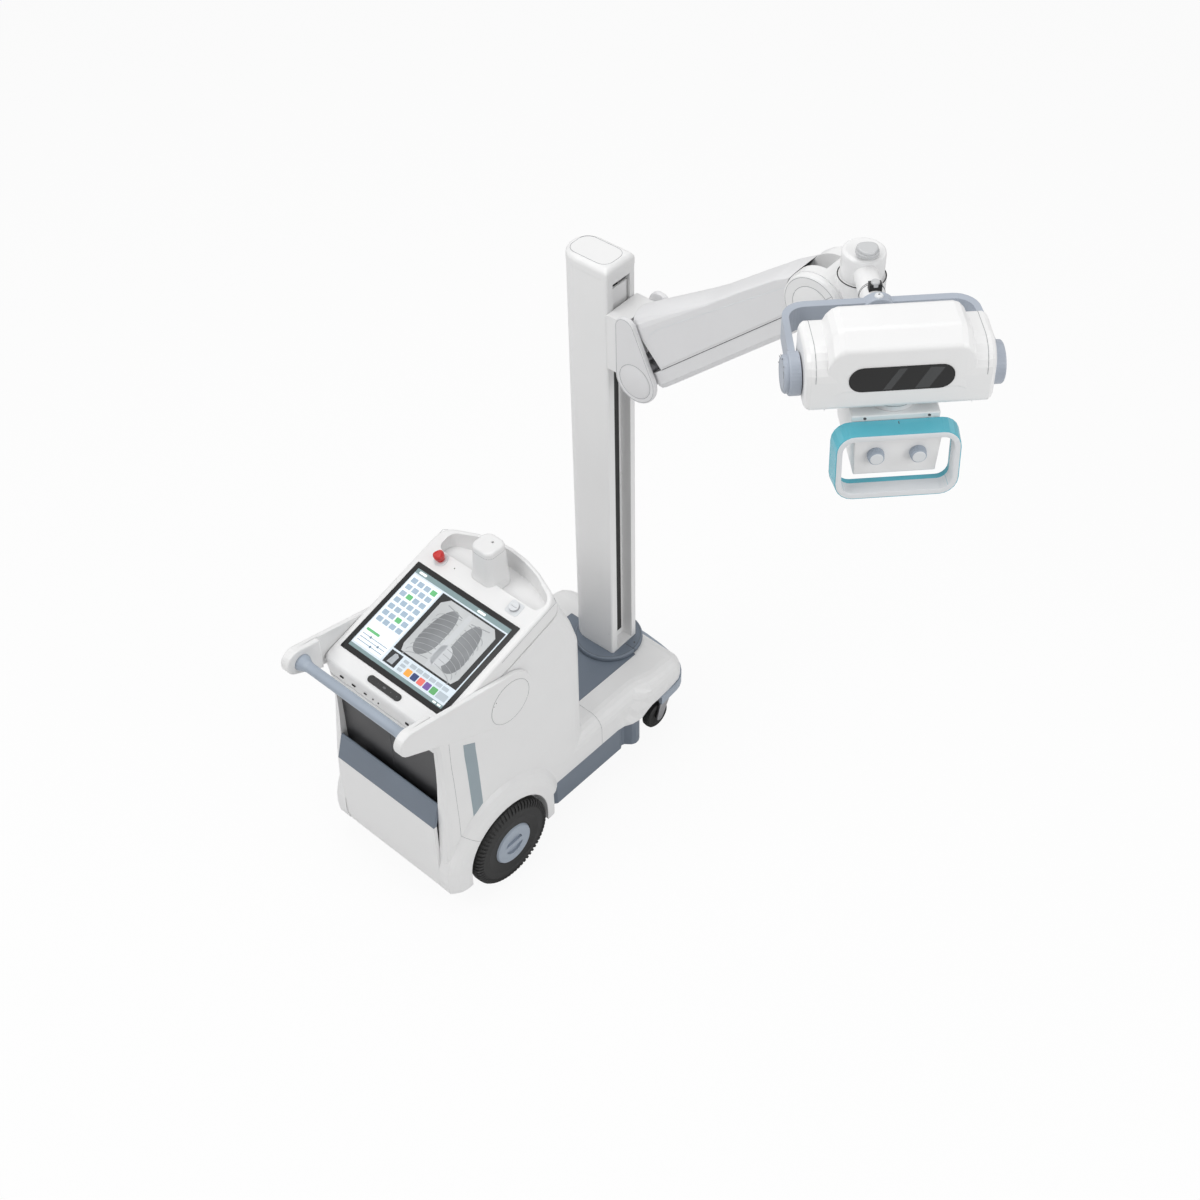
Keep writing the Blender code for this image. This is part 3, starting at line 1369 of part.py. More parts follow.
def post_head(axis):
    """Frame origin on the post's axis at the height of the elbow, x out along the stub."""
    low = POST_SPLIT + BEARING_GAP
    post = [(0.0, low - 0.002), (POST_RADIUS, low - 0.002), (POST_RADIUS, POST_TOP - POST_TOP_ROUND)]
    for angle in (30, 60, 90):
        out = POST_RADIUS - POST_TOP_ROUND * (1 - math.cos(math.radians(angle)))
        post.append((out, POST_TOP - POST_TOP_ROUND * (1 - math.sin(math.radians(angle)))))
    post.append((0.0, POST_TOP))
    made = lathe("post_head", post, "z", (0, 0, 0), WHITE, axis, 40)
    add(made, lathe("stub form", disc_profile(STUB_RADIUS, 0.0, STUB_END), "x", (0, 0, STUB_UP), WHITE, axis, 32))
    room = disc_profile(POST_LOWER_RADIUS + RUNNING, 0.0, low)
    cut(made, lathe("lower post room", room, "z", (0, 0, 0), WHITE, axis, 40))
    rings = []
    for size, up in ((0.90, 0.0105), (1.0, 0.0140), (1.0, 0.0230), (0.95, 0.0262), (0.86, 0.0275)):
        ring = []
        for step in range(36):
            angle = 2 * math.pi * step / 36
            out = POST_KNOB_RADIUS * size * (0.935 + 0.065 * math.cos(3 * angle))
            ring.append((POST_KNOB_OUT + out * math.cos(angle), out * math.sin(angle), POST_TOP + up))
        rings.append(ring)
    knob = loft("post_knob", rings, BLUE_GREY, axis)
    stem = disc_profile(POST_KNOB_RADIUS / 3, POST_TOP + SEAT, POST_TOP + 0.015)
    add(knob, lathe("knob stem", stem, "z", (POST_KNOB_OUT, 0, 0), BLUE_GREY, axis, 20))
    low, high = (LOCK_OUT - 0.009, -0.015, STUB_UP + 0.018), (LOCK_OUT + 0.009, 0.015, STUB_UP + LOCK_TOP)
    lock = box("yoke_lock", low, high, BLACK, axis)
    around = disc_profile(STUB_RADIUS + SEAT, LOCK_OUT - 0.03, LOCK_OUT + 0.03)
    cut(lock, lathe("lock seat", around, "x", (0, 0, STUB_UP), BLACK, axis, 32))


def yoke_outline():
    """Plan of the yoke strap: a back bar, two round corners and two arms that spread to the pivots."""
    inner_t = YOKE_CORNER_T - YOKE_THICK
    inner_corner = YOKE_CORNER - YOKE_THICK
    outer = arc((YOKE_BACK + YOKE_CORNER, YOKE_CORNER_T - YOKE_CORNER), YOKE_CORNER, 90, 180, 7)
    inner = arc((YOKE_FRONT + inner_corner, inner_t - inner_corner), inner_corner, 90, 180, 7)
    end = PIVOT_OUT + 0.011
    side = [(end, YOKE_PIVOT_T)] + outer
    back = [(end, YOKE_PIVOT_T - YOKE_THICK)] + inner
    return side + mirrored(side) + [(s, -t) for s, t in back] + back[::-1]


def yoke(axis):
    """Frame origin on the stub's axis at the post, x along the stub."""
    strap = prism("yoke", yoke_outline(), "z", -YOKE_HALF_HEIGHT, YOKE_HALF_HEIGHT, BLUE_GREY, axis)
    hub = disc_profile(YOKE_HUB_RADIUS, STUB_END + 0.001, YOKE_FRONT + 0.006, 0.004)
    add(strap, lathe("yoke hub", hub, "x", (0, 0, 0), BLUE_GREY, axis, 32))
    for side, label in ((1, "left"), (-1, "right")):
        disc = disc_profile(DISC_RADIUS, side * DISC_INNER_T, side * DISC_OUTER_T, 0.004)
        if side < 0:
            rim = DISC_RADIUS - 0.006
            far = -DISC_CAP_T
            disc[-1:] = [(rim, -DISC_OUTER_T), (rim, far + 0.004), (rim - 0.004, far), (0.0, far)]
        add(strap, lathe("pivot disc " + label, disc, "y", (PIVOT_OUT, 0, 0), BLUE_GREY, axis, 36))
    for side, label in ((1, "left"), (-1, "right")):
        reach = DISC_INNER_T + TRUNNION_DEPTH
        bore = disc_profile(TRUNNION_RADIUS + SEAT, side * (DISC_INNER_T - 0.01), side * reach)
        cut(strap, lathe("pivot bore " + label, bore, "y", (PIVOT_OUT, 0, 0), BLUE_GREY, axis, 28))


# Corners: place before the pivot, height above it, radius
HOUSING_PROFILE = (
    (-0.0729, 0.0942, 0.0142),
    (0.0754, 0.0942, 0.0668),
    (0.0744, -0.0516, 0.0132),
    (-0.0709, -0.0516, 0.0182),
)
HUMP_PROFILE = (
    (-0.0668, 0.1362, 0.0243),
    (0.0304, 0.1362, 0.0243),
    (0.0729, 0.1063, 0.0162),
    (0.0754, 0.0, 0.0),
    (-0.0709, 0.0, 0.0),
)
# Columns: place across the head, shrink, drop
HUMP_ENDS = (
    (-0.1640, 0.004, 0.0527),
    (-0.1600, 0.002, 0.0344),
    (-0.1509, 0.001, 0.0162),
    (-0.1397, 0.0, 0.0051),
    (-0.1266, 0.0, 0.0),
)


def rounded(corners, steps):
    """An outline through the corners, each turned by its own radius."""
    made = []
    for index, (first, second, radius) in enumerate(corners):
        if radius == 0.0:
            made.append((first, second))
            continue
        here = Vector((first, second))
        before = (Vector(corners[index - 1][:2]) - here).normalized()
        after = (Vector(corners[(index + 1) % len(corners)][:2]) - here).normalized()
        half = before.angle(after) / 2
        centre = here + (before + after).normalized() * radius / math.sin(half)
        start = here + before * radius / math.tan(half) - centre
        stop = here + after * radius / math.tan(half) - centre
        begin = math.atan2(start.y, start.x)
        turn = (math.atan2(stop.y, stop.x) - begin + math.pi) % (2 * math.pi) - math.pi
        for step in range(steps + 1):
            angle = begin + turn * step / steps
            made.append((centre.x + radius * math.cos(angle), centre.y + radius * math.sin(angle)))
    return made


def profile_ring(profile, place, shrink, drop):
    """The profile at a place across the head, drawn in towards its middle by shrink and lowered by drop."""
    middle = (0.0, 0.02)
    ring = []
    for s, z in profile:
        length = math.hypot(s - middle[0], z - middle[1])
        part = 1 - shrink / length
        ring.append((middle[0] + (s - middle[0]) * part, place, middle[1] + (z - middle[1]) * part - drop))
    return ring


def tube_head(axis):
    """Frame origin on the tilt pivot's axis, x forward and y across."""
    outline = rounded(HOUSING_PROFILE, 6)
    rings = []
    for place, shrink in ((-HOUSING_HALF, 0.014), (-HOUSING_HALF + 0.004, 0.006), (-HOUSING_HALF + 0.012, 0.0)):
        rings.append(profile_ring(outline, place, shrink, 0.0))
    rings += [[(s, -t, z) for s, t, z in ring] for ring in reversed(rings)]
    housing = loft("tube_housing", rings, WHITE, axis)
    outline = rounded(HUMP_PROFILE, 5)
    hump = [profile_ring(outline, place, shrink, drop) for place, shrink, drop in HUMP_ENDS]
    hump += [[(s, -t, z) for s, t, z in ring] for ring in reversed(hump)]
    add(housing, loft("hump form", hump, WHITE, axis))
    for side, label in ((1, "left"), (-1, "right")):
        reach = DISC_INNER_T + TRUNNION_DEPTH - SEAT
        shaft = disc_profile(TRUNNION_RADIUS, side * (HOUSING_HALF - 0.02), side * reach)
        add(housing, lathe("trunnion " + label, shaft, "y", (0, 0, 0), WHITE, axis, 24))
    back = DISPLAY_FRONT - DISPLAY_THICK
    cut(housing, prism("display seat", display_outline(SEAT), "x", back - SEAT, 0.12, BLACK, axis))
    prism("head_display", display_outline(0.0), "x", back, DISPLAY_FRONT, GLASS, axis)
    neck = disc_profile(NECK_RADIUS, HOUSING_PROFILE[2][1] - SEAT, NECK_LOW)
    lathe("collimator_neck", neck, "z", (0, 0, 0), GREY, axis, 40)


def display_outline(grow):
    half = DISPLAY_HALF + grow
    corner = 0.49 * (DISPLAY_TOP - DISPLAY_LOW)
    return rounded_rectangle((-half, DISPLAY_LOW - grow), (half, DISPLAY_TOP + grow), corner, 6)


def box_half(z):
    """Half width of the collimator box, which narrows downward."""
    return BOX_HALF - BOX_TAPER * (BOX_TOP - z) / (BOX_TOP - BOX_LOW)


def collimator(axis):
    """Frame origin on the beam's axis at the tilt pivot."""
    notch = RING_FRONT - RING_DEPTH - SEAT - 0.002
    side_view = [
        (BOX_BACK, BOX_TOP),
        (notch, BOX_TOP),
        (notch, RING_TOP - RING_BAR - SEAT),
        (BOX_FRONT, RING_TOP - RING_BAR - SEAT),
        (BOX_FRONT, BOX_LOW),
        (BOX_BACK + 0.012, BOX_LOW),
        (BOX_BACK, BOX_LOW + 0.014),
    ]
    rings = [[(x, side * box_half(z), z) for x, z in side_view] for side in (-1, 1)]
    case = loft("collimator_box", rings, WHITE, axis)
    bevel(case, 0.003, 2, 60.0)
    room = box(
        "window room",
        (-WINDOW_HALF - SEAT, -WINDOW_HALF - SEAT, BOX_LOW - 0.01),
        (WINDOW_HALF + SEAT, WINDOW_HALF + SEAT, BOX_LOW + WINDOW_THICK + WINDOW_RECESS + SEAT),
        WHITE,
        axis,
    )
    cut(case, room)
    box(
        "collimator_window",
        (-WINDOW_HALF, -WINDOW_HALF, BOX_LOW + WINDOW_RECESS),
        (WINDOW_HALF, WINDOW_HALF, BOX_LOW + WINDOW_RECESS + WINDOW_THICK),
        CLEAR,
        axis,
    )
    rings = []
    back = RING_FRONT - RING_DEPTH
    for place, grow in ((back, RING_FLARE), (RING_FRONT, 0.0)):
        outer = rounded_rectangle((-RING_HALF - grow, RING_LOW - grow), (RING_HALF + grow, RING_TOP), RING_CORNER, 5)
        rings.append([(place + (RING_TOP - z) * RING_LEAN, t, z) for t, z in outer])
    ring = loft("grip_ring", rings, TEAL, axis)
    hollow = []
    for place in (back - 0.01, RING_FRONT + 0.01):
        reach = RING_HALF - RING_BAR
        low, high = (-reach, RING_LOW + RING_BAR), (reach, RING_TOP - RING_BAR)
        inner = rounded_rectangle(low, high, RING_CORNER - RING_BAR, 5)
        hollow.append([(place + (RING_TOP - z) * RING_LEAN, t, z) for t, z in inner])
    cut(ring, loft("grip ring hollow", hollow, TEAL, axis))
    for side, label in ((1, "L"), (-1, "R")):
        knob = disc_profile(KNOB_RADIUS, BOX_FRONT + SEAT, BOX_FRONT + KNOB_LENGTH, 0.003)
        lathe("collimator_knob_" + label, knob, "x", (0, side * KNOB_T, KNOB_DROP), BLUE_GREY, axis, 28)


def build():
    undercarriage()
    console_body()
    console_top()
    exposure_dock()
    console_controls()
    detector_bin()
    push_handle()
    for side, label in ((1, "L"), (-1, "R")):
        rear_wheel(side, label)
        caster(side, label)
    deck()
    mast_axis = axis_empty("mast_axis", (MAST_X, MAST_Y, 0.0), MAST_YAW)
    mast(mast_axis)
    carriage(mast_axis)
    arm_axis = axis_empty("arm_axis", (SHOULDER_A, 0.0, SHOULDER_Z), 0.0, -ARM_PITCH, mast_axis)
    arm(arm_axis)
    elbow_a = SHOULDER_A + ARM_LENGTH * math.cos(ARM_PITCH) - ARM_OFFSET * math.sin(ARM_PITCH)
    elbow_z = SHOULDER_Z + ARM_LENGTH * math.sin(ARM_PITCH) + ARM_OFFSET * math.cos(ARM_PITCH)
    elbow_axis = axis_empty("elbow_axis", (elbow_a, 0.0, elbow_z), parent=mast_axis)
    elbow(elbow_axis)
    post_axis = axis_empty("post_axis", (POST_OUT, 0.0, 0.0), HEAD_YAW, parent=elbow_axis)
    post_head(post_axis)
    yoke_axis = axis_empty("yoke_axis", (0.0, 0.0, STUB_UP), parent=post_axis)
    yoke(yoke_axis)
    tilt_axis = axis_empty("tilt_axis", (PIVOT_OUT, 0.0, 0.0), parent=yoke_axis)
    tube_head(tilt_axis)
    beam_axis = axis_empty("beam_axis", (0.0, 0.0, 0.0), parent=tilt_axis)
    collimator(beam_axis)


build()
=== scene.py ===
"""Looks for the portable x-ray machine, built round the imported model. Metres, in the model's own frame."""

import math

import bmesh
import bpy
from mathutils import Matrix, Vector


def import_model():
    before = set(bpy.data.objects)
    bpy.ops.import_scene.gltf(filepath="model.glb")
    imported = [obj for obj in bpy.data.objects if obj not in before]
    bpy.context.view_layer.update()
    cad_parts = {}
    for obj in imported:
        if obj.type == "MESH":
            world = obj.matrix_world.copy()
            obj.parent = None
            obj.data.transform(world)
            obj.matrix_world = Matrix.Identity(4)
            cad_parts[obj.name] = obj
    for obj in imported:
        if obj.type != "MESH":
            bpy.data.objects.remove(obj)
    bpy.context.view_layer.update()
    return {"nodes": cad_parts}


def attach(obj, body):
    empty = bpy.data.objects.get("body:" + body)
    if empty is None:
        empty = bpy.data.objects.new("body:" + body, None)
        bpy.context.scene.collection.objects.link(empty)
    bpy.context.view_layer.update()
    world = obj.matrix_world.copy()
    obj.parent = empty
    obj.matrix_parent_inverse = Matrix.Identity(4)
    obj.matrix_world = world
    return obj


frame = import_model()
nodes = frame["nodes"]


# Materials


def srgb(red, green, blue):
    """A linear colour with alpha from display values."""

    def linear(value):
        return value / 12.92 if value <= 0.04045 else ((value + 0.055) / 1.055) ** 2.4

    return (linear(red), linear(green), linear(blue), 1.0)


def new_material(name):
    made = bpy.data.materials.new(name)
    made.use_nodes = True
    tree = made.node_tree
    shader = tree.nodes["Principled BSDF"]
    return made, tree, shader


def finish(
    name,
    colour,
    rough=0.35,
    vary=0.03,
    grain=900.0,
    bump=0.03,
    metal=0.0,
    coat=0.0,
    patches=7.0,
    rough_vary=0.06,
    edge=0.0,
):
    """A moulded or painted surface: slight drift of tone, changing gloss and a fine grain."""
    made, tree, shader = new_material(name)
    place = tree.nodes.new("ShaderNodeTexCoord")
    drift = tree.nodes.new("ShaderNodeTexNoise")
    drift.inputs["Scale"].default_value = patches
    drift.inputs["Detail"].default_value = 3.0
    tree.links.new(place.outputs["Object"], drift.inputs["Vector"])
    ramp = tree.nodes.new("ShaderNodeValToRGB")
    dark = [value * (1 - vary) for value in colour[:3]] + [1.0]
    light = [min(1.0, value * (1 + vary)) for value in colour[:3]] + [1.0]
    ramp.color_ramp.elements[0].position = 0.3
    ramp.color_ramp.elements[0].color = dark
    ramp.color_ramp.elements[1].position = 0.7
    ramp.color_ramp.elements[1].color = light
    tree.links.new(drift.outputs["Fac"], ramp.inputs["Fac"])
    tree.links.new(ramp.outputs["Color"], shader.inputs["Base Color"])
    gloss = tree.nodes.new("ShaderNodeMapRange")
    gloss.inputs["To Min"].default_value = max(0.02, rough - rough_vary)
    gloss.inputs["To Max"].default_value = rough + rough_vary
    tree.links.new(drift.outputs["Fac"], gloss.inputs["Value"])
    tree.links.new(gloss.outputs["Result"], shader.inputs["Roughness"])
    fine = tree.nodes.new("ShaderNodeTexNoise")
    fine.inputs["Scale"].default_value = grain
    fine.inputs["Detail"].default_value = 2.0
    tree.links.new(place.outputs["Object"], fine.inputs["Vector"])
    relief = tree.nodes.new("ShaderNodeBump")
    relief.inputs["Strength"].default_value = bump
    relief.inputs["Distance"].default_value = 0.0006
    tree.links.new(fine.outputs["Fac"], relief.inputs["Height"])
    if edge > 0.0:
        soft = tree.nodes.new("ShaderNodeBevel")
        soft.samples = 4
        soft.inputs["Radius"].default_value = edge
        tree.links.new(soft.outputs["Normal"], relief.inputs["Normal"])
    tree.links.new(relief.outputs["Normal"], shader.inputs["Normal"])
    shader.inputs["Metallic"].default_value = metal
    shader.inputs["Coat Weight"].default_value = coat
    return made


WHITE = finish("white cover", srgb(0.915, 0.915, 0.915), rough=0.32, vary=0.008, edge=0.002)
WHITE_HEAD = finish("white head cover", srgb(0.925, 0.925, 0.925), rough=0.30, vary=0.008, edge=0.002)
GREY = finish(
    "light grey cover", srgb(0.88, 0.88, 0.885), rough=0.42, vary=0.012, grain=700.0, bump=0.06, edge=0.002
)
PROFILE = finish(
    "white column paint", srgb(0.915, 0.915, 0.915), rough=0.30, vary=0.008, grain=500.0, edge=0.0015
)
SLATE = finish(
    "slate moulding", srgb(0.43, 0.47, 0.52), rough=0.42, vary=0.04, grain=800.0, bump=0.08, edge=0.0015
)
TRIM = finish(
    "blue grey trim", srgb(0.62, 0.66, 0.71), rough=0.38, vary=0.025, grain=800.0, bump=0.05, edge=0.001
)
YOKE_PAINT = finish(
    "yoke paint", srgb(0.66, 0.69, 0.735), rough=0.36, vary=0.02, grain=650.0, bump=0.05, edge=0.001
)
BLACK = finish("black plastic", srgb(0.11, 0.11, 0.11), rough=0.5, vary=0.1, grain=900.0, bump=0.12)
LINER = finish("dark liner", srgb(0.16, 0.16, 0.17), rough=0.38, vary=0.06, grain=500.0, bump=0.06)
TYRE = finish(
    "tyre rubber", srgb(0.10, 0.10, 0.10), rough=0.6, vary=0.16, grain=420.0, bump=0.25, patches=18.0
)
STEEL = finish(
    "brushed steel", srgb(0.70, 0.70, 0.71), rough=0.30, vary=0.05, grain=300.0, bump=0.08, metal=1.0
)
FRAME_PAINT = finish(
    "dark frame paint", srgb(0.20, 0.21, 0.23), rough=0.5, vary=0.08, grain=500.0, bump=0.15
)
TEAL = finish(
    "teal plastic", srgb(0.36, 0.72, 0.79), rough=0.25, vary=0.03, grain=600.0, bump=0.02, coat=0.3
)
RED = finish("red plastic", srgb(0.78, 0.13, 0.12), rough=0.28, vary=0.05, grain=600.0, bump=0.03, coat=0.3)
GLASS = finish(
    "black glass", srgb(0.035, 0.035, 0.04), rough=0.10, vary=0.1, grain=200.0, bump=0.0, rough_vary=0.02
)
SILVER = finish(
    "silver grey plastic", srgb(0.76, 0.765, 0.77), rough=0.30, vary=0.03, grain=500.0, bump=0.03
)
SEAM = finish("seam shadow", srgb(0.56, 0.57, 0.58), rough=0.7, vary=0.05)
# Dark marks, screws and scale lines; along the arm's lower cover it is painted shadow in the seam.
DARK_MARK_AND_SEAM_SHADOW = finish("dark marks and seam shadow", srgb(0.30, 0.31, 0.32), rough=0.7, vary=0.05)
# Near-black painted shade standing in for the depth of the ports, the rear slot, the post's split and the
# dome's hole; the charge lamp uses the same near-black.
HOLE_SHADE = finish("painted hole shade", srgb(0.07, 0.07, 0.07), rough=0.8, vary=0.1)
CAP_WHITE = finish("white cap plastic", srgb(0.86, 0.87, 0.88), rough=0.35, vary=0.02)
SIDE_PLATE = finish("side plate", srgb(0.58, 0.635, 0.665), rough=0.4, vary=0.03, grain=600.0, bump=0.05)
SKY = finish("light blue button", srgb(0.40, 0.68, 0.85), rough=0.3, vary=0.04)

FINISHES = {
    WHITE: "body_shell console_top deck_cover bin_panel handle_arm_L "
    "handle_arm_R exposure_dock column_cap carriage",
    WHITE_HEAD: "tube_housing collimator_box",
    PROFILE: "column elbow_bracket post_head",
    GREY: "arm_upper_cover arm_lower_cover shoulder_cheek_L shoulder_cheek_R collimator_neck",
    SLATE: "base_skirt deck_plate bin_strip column_collar slew_bearing",
    TRIM: "front_bumper handle_bar rear_hub_L rear_hub_R collimator_knob_L collimator_knob_R",
    YOKE_PAINT: "yoke",
    BLACK: "button_strip lift_belt yoke_lock",
    LINER: "bin_liner",
    GLASS: "display_panel head_display",
    TYRE: "rear_tyre_L rear_tyre_R caster_wheel_L caster_wheel_R",
    STEEL: "rear_axle_L rear_axle_R key_switch caster_fork_L "
    "caster_fork_R shoulder_pin arm_core collimator_window",
    SILVER: "post_knob",
    FRAME_PAINT: "base_frame power_block",
    TEAL: "grip_ring",
    RED: "stop_button",
}
for paint, names in FINISHES.items():
    for name in names.split():
        nodes[name].data.materials.clear()
        nodes[name].data.materials.append(paint)


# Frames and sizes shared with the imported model

CONSOLE_TILT = math.radians(17.03)
CONSOLE_REF = (0.161, 0.917)
GLASS_X = 0.0002
WHEEL_Z = 0.151

MAST_PLACE = (0.7225, -0.0233, 0.0)
MAST_HEADING = math.radians(-88.0)
SHOULDER = (0.1803, 1.5058)
ARM_PITCH = math.radians(44.3)
ARM_LENGTH = 0.7433
ARM_OFFSET = -0.0208
ELBOW_TO_POST = 0.083
POST_HEADING = math.radians(-45.5)
STUB_Z = 0.118
STUB_TO_TILT = 0.3919


def shift(x, y, z):
    return Matrix.Translation((x, y, z))


def spin(angle, axis):
    return Matrix.Rotation(angle, 4, axis)


MAST = shift(*MAST_PLACE) @ spin(MAST_HEADING, "Z")
ARM = MAST @ shift(SHOULDER[0], 0.0, SHOULDER[1]) @ spin(-ARM_PITCH, "Y")
ELBOW_A = SHOULDER[0] + ARM_LENGTH * math.cos(ARM_PITCH) - ARM_OFFSET * math.sin(ARM_PITCH)
ELBOW_Z = SHOULDER[1] + ARM_LENGTH * math.sin(ARM_PITCH) + ARM_OFFSET * math.cos(ARM_PITCH)
ELBOW = MAST @ shift(ELBOW_A, 0.0, ELBOW_Z)
POST = ELBOW @ shift(ELBOW_TO_POST, 0.0, 0.0) @ spin(POST_HEADING, "Z")
YOKE = POST @ shift(0.0, 0.0, STUB_Z)
HEAD = YOKE @ shift(STUB_TO_TILT, 0.0, 0.0)
WORLD = Matrix.Identity(4)
SIDES = ((1, "L"), (-1, "R"))


def console_z(x):
    return CONSOLE_REF[1] + (x - CONSOLE_REF[0]) * math.tan(CONSOLE_TILT)


def console_place(x, y):
    """A frame on the sloping console top, z along its normal."""
    return shift(x, y, console_z(x)) @ spin(-CONSOLE_TILT, "Y")


def between(rows, value):
    """Straight interpolation in rows of (value, result)."""
    rows = sorted(rows)
    for one, two in zip(rows, rows[1:]):
        if value <= two[0]:
            part = max(0.0, (value - one[0]) / (two[0] - one[0]))
            return one[1] + (two[1] - one[1]) * part
    return rows[-1][1]


# Shapes

HAIRLINE = 0.0005
THIN_LINE = 0.0006
MARK_LINE = 0.0008
BROAD_LINE = 0.0009


def arc(centre, radius, start, stop, steps):
    made = []
    for step in range(steps + 1):
        angle = math.radians(start + (stop - start) * step / steps)
        made.append((centre[0] + radius * math.cos(angle), centre[1] + radius * math.sin(angle)))
    return made


def rounded_rectangle(low, high, corner, steps=4):
    made = []
    for across, up, start in (
        (high[0] - corner, high[1] - corner, 0),
        (low[0] + corner, high[1] - corner, 90),
        (low[0] + corner, low[1] + corner, 180),
        (high[0] - corner, low[1] + corner, 270),
    ):
        made += arc((across, up), corner, start, start + 90, steps)
    return made


def band_outline(one, one_radius, two, two_radius, steps):
    """The outline of a band drawn tight round two circles."""
    span = math.hypot(two[0] - one[0], two[1] - one[1])
    heading = math.degrees(math.atan2(two[1] - one[1], two[0] - one[0]))
    lean = math.degrees(math.acos((one_radius - two_radius) / span))
    made = arc(one, one_radius, heading + lean, heading + 360 - lean, steps)
    return made + arc(two, two_radius, heading - lean, heading + lean, steps)


def shrunk(outline, amount):
    """The outline moved in towards its middle."""
    middle = (sum(u for u, v in outline) / len(outline), sum(v for u, v in outline) / len(outline))
    made = []
    for u, v in outline:
        length = math.hypot(u - middle[0], v - middle[1]) or 1.0
        part = max(0.0, 1 - amount / length)
        made.append((middle[0] + (u - middle[0]) * part, middle[1] + (v - middle[1]) * part))
    return made


def laid(outline, depth, axis="z"):
    """The points of an outline at a depth along an axis."""
    if axis == "x":
        return [(depth, u, v) for u, v in outline]
    if axis == "y":
        return [(u, depth, v) for u, v in outline]
    return [(u, v, depth) for u, v in outline]


def waved(size, wave, count, steps):
    """A circle whose radius swells and sinks count times on its way round."""
    made = []
    for step in range(steps):
        angle = 2 * math.pi * step / steps
        out = size + wave * math.cos(count * angle)
        made.append((out * math.cos(angle), out * math.sin(angle)))
    return made


class Shape:
    """Points and faces gathered for one piece."""

    def __init__(self):
        self.points = []
        self.faces = []

    def rings(self, rings, around=False):
        """Closed rings joined one to the next; open ends are capped, or the last joins the first."""
        base = len(self.points)
        count = len(rings[0])
        for ring in rings:
            self.points += [tuple(point) for point in ring]
        levels = len(rings) if around else len(rings) - 1
        for level in range(levels):
            low = base + level * count
            high = base + ((level + 1) % len(rings)) * count
            for index in range(count):
                after = (index + 1) % count
                self.faces.append((low + index, low + after, high + after, high + index))
        if not around:
            self.faces.append(tuple(range(base, base + count)))
            self.faces.append(tuple(range(base + (len(rings) - 1) * count, base + len(rings) * count)))
        return self

    def plate(self, outline, low, high, axis="z", edge=0.0004):
        """A flat plate from an outline, its far rim taken off by edge."""
        turn = 1.0 if high > low else -1.0
        levels = ((outline, low), (outline, high - turn * edge), (shrunk(outline, edge), high))
        return self.rings([laid(ring, depth, axis) for ring, depth in levels])

    def turned(self, profile, centre=(0.0, 0.0, 0.0), axis="z", steps=32):
        """A profile of (radius, depth) turned about an axis; a radius of nought is kept as a tiny ring."""
        rings = []
        for radius, depth in profile:
            circle = waved(max(radius, 0.00005), 0.0, 1, steps)
            ring = laid(circle, depth, axis)
            rings.append([tuple(point[i] + centre[i] for i in range(3)) for point in ring])
        return self.rings(rings)

    def line(self, path, radius, sides=6, closed=False):
        """A thin round cord of material along a path."""
        path = [Vector(point) for point in path]
        rings = []
        count = len(path)
        for index, here in enumerate(path):
            before = path[index - 1] if index or closed else here
            after = path[(index + 1) % count] if index < count - 1 or closed else here
            ahead = (after - before).normalized()
            guide = Vector((0, 0, 1)) if abs(ahead.z) < 0.9 else Vector((1, 0, 0))
            side = ahead.cross(guide).normalized()
            up = side.cross(ahead)
            ring = []
            for step in range(sides):
                angle = 2 * math.pi * step / sides
                ring.append(here + side * (radius * math.cos(angle)) + up * (radius * math.sin(angle)))
            rings.append(ring)
        return self.rings(rings, closed)

    def loop(self, outline, depth, axis, radius):
        """A closed thin line round an outline."""
        return self.line(laid(outline, depth, axis), radius, closed=True)

    def piece(self, name, paint, body, place=WORLD, sharp=32.0):
        mesh = bpy.data.meshes.new(name)
        mesh.from_pydata(self.points, [], self.faces)
        work = bmesh.new()
        work.from_mesh(mesh)
        bmesh.ops.recalc_face_normals(work, faces=work.faces)
        work.to_mesh(mesh)
        work.free()
        mesh.shade_smooth()
        mesh.set_sharp_from_angle(angle=math.radians(sharp))
        made = bpy.data.objects.new(name, mesh)
        made.data.materials.append(paint)
        bpy.context.scene.collection.objects.link(made)
        made.matrix_world = place
        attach(made, body)
        return made


# Body seams, side plates and handle covers

SHELL_HALF = ((0.193, 0.245), (0.390, 0.243), (0.560, 0.234), (0.620, 0.229), (0.700, 0.228), (1.020, 0.228))
FENDER_HALF = ((0.241, 0.2435), (0.229, 0.254), (0.213, 0.264), (0.195, 0.2693), (0.166, 0.270))
FENDER_REACH = 0.241
REAR_SEAM = [(-0.163, 0.720), (-0.166, 0.520), (-0.170, 0.322), (-0.118, 0.268)]
REAR_SEAM_LINE = 0.00055
SEAM_STEPS = 10
TOP_SEAM_X = (0.285, 0.25, 0.2, 0.15, 0.1, 0.06)
TOP_SEAM_HALF = 0.2281
TOP_SEAM_DOWN = 0.0125
TOP_SEAM_END = (0.292, 0.214, 0.011)
BADGE_LOW, BADGE_HIGH = 0.361, 0.671
BADGE_REAR, BADGE_REAR_DRIFT = -0.114, 0.002
BADGE_FRONT, BADGE_FRONT_DRIFT = -0.073, 0.005
BADGE_TOP_CUT, BADGE_LOW_CUT = 0.025, 0.016
BADGE_STEPS = 12
BADGE_SUNK, BADGE_PROUD = 0.002, 0.0007
HANDLE_FACE = 0.2435
HANDLE_PIVOT = (0.067, 0.716)
HANDLE_COVER = 0.0752
HANDLE_COVER_GAP = 0.0760
HANDLE_SCREWS = ((0.012, 0.7560, 0.0022), (0.0035, 0.7475, 0.0016))


def shell_half(z):
    return between(SHELL_HALF, z)


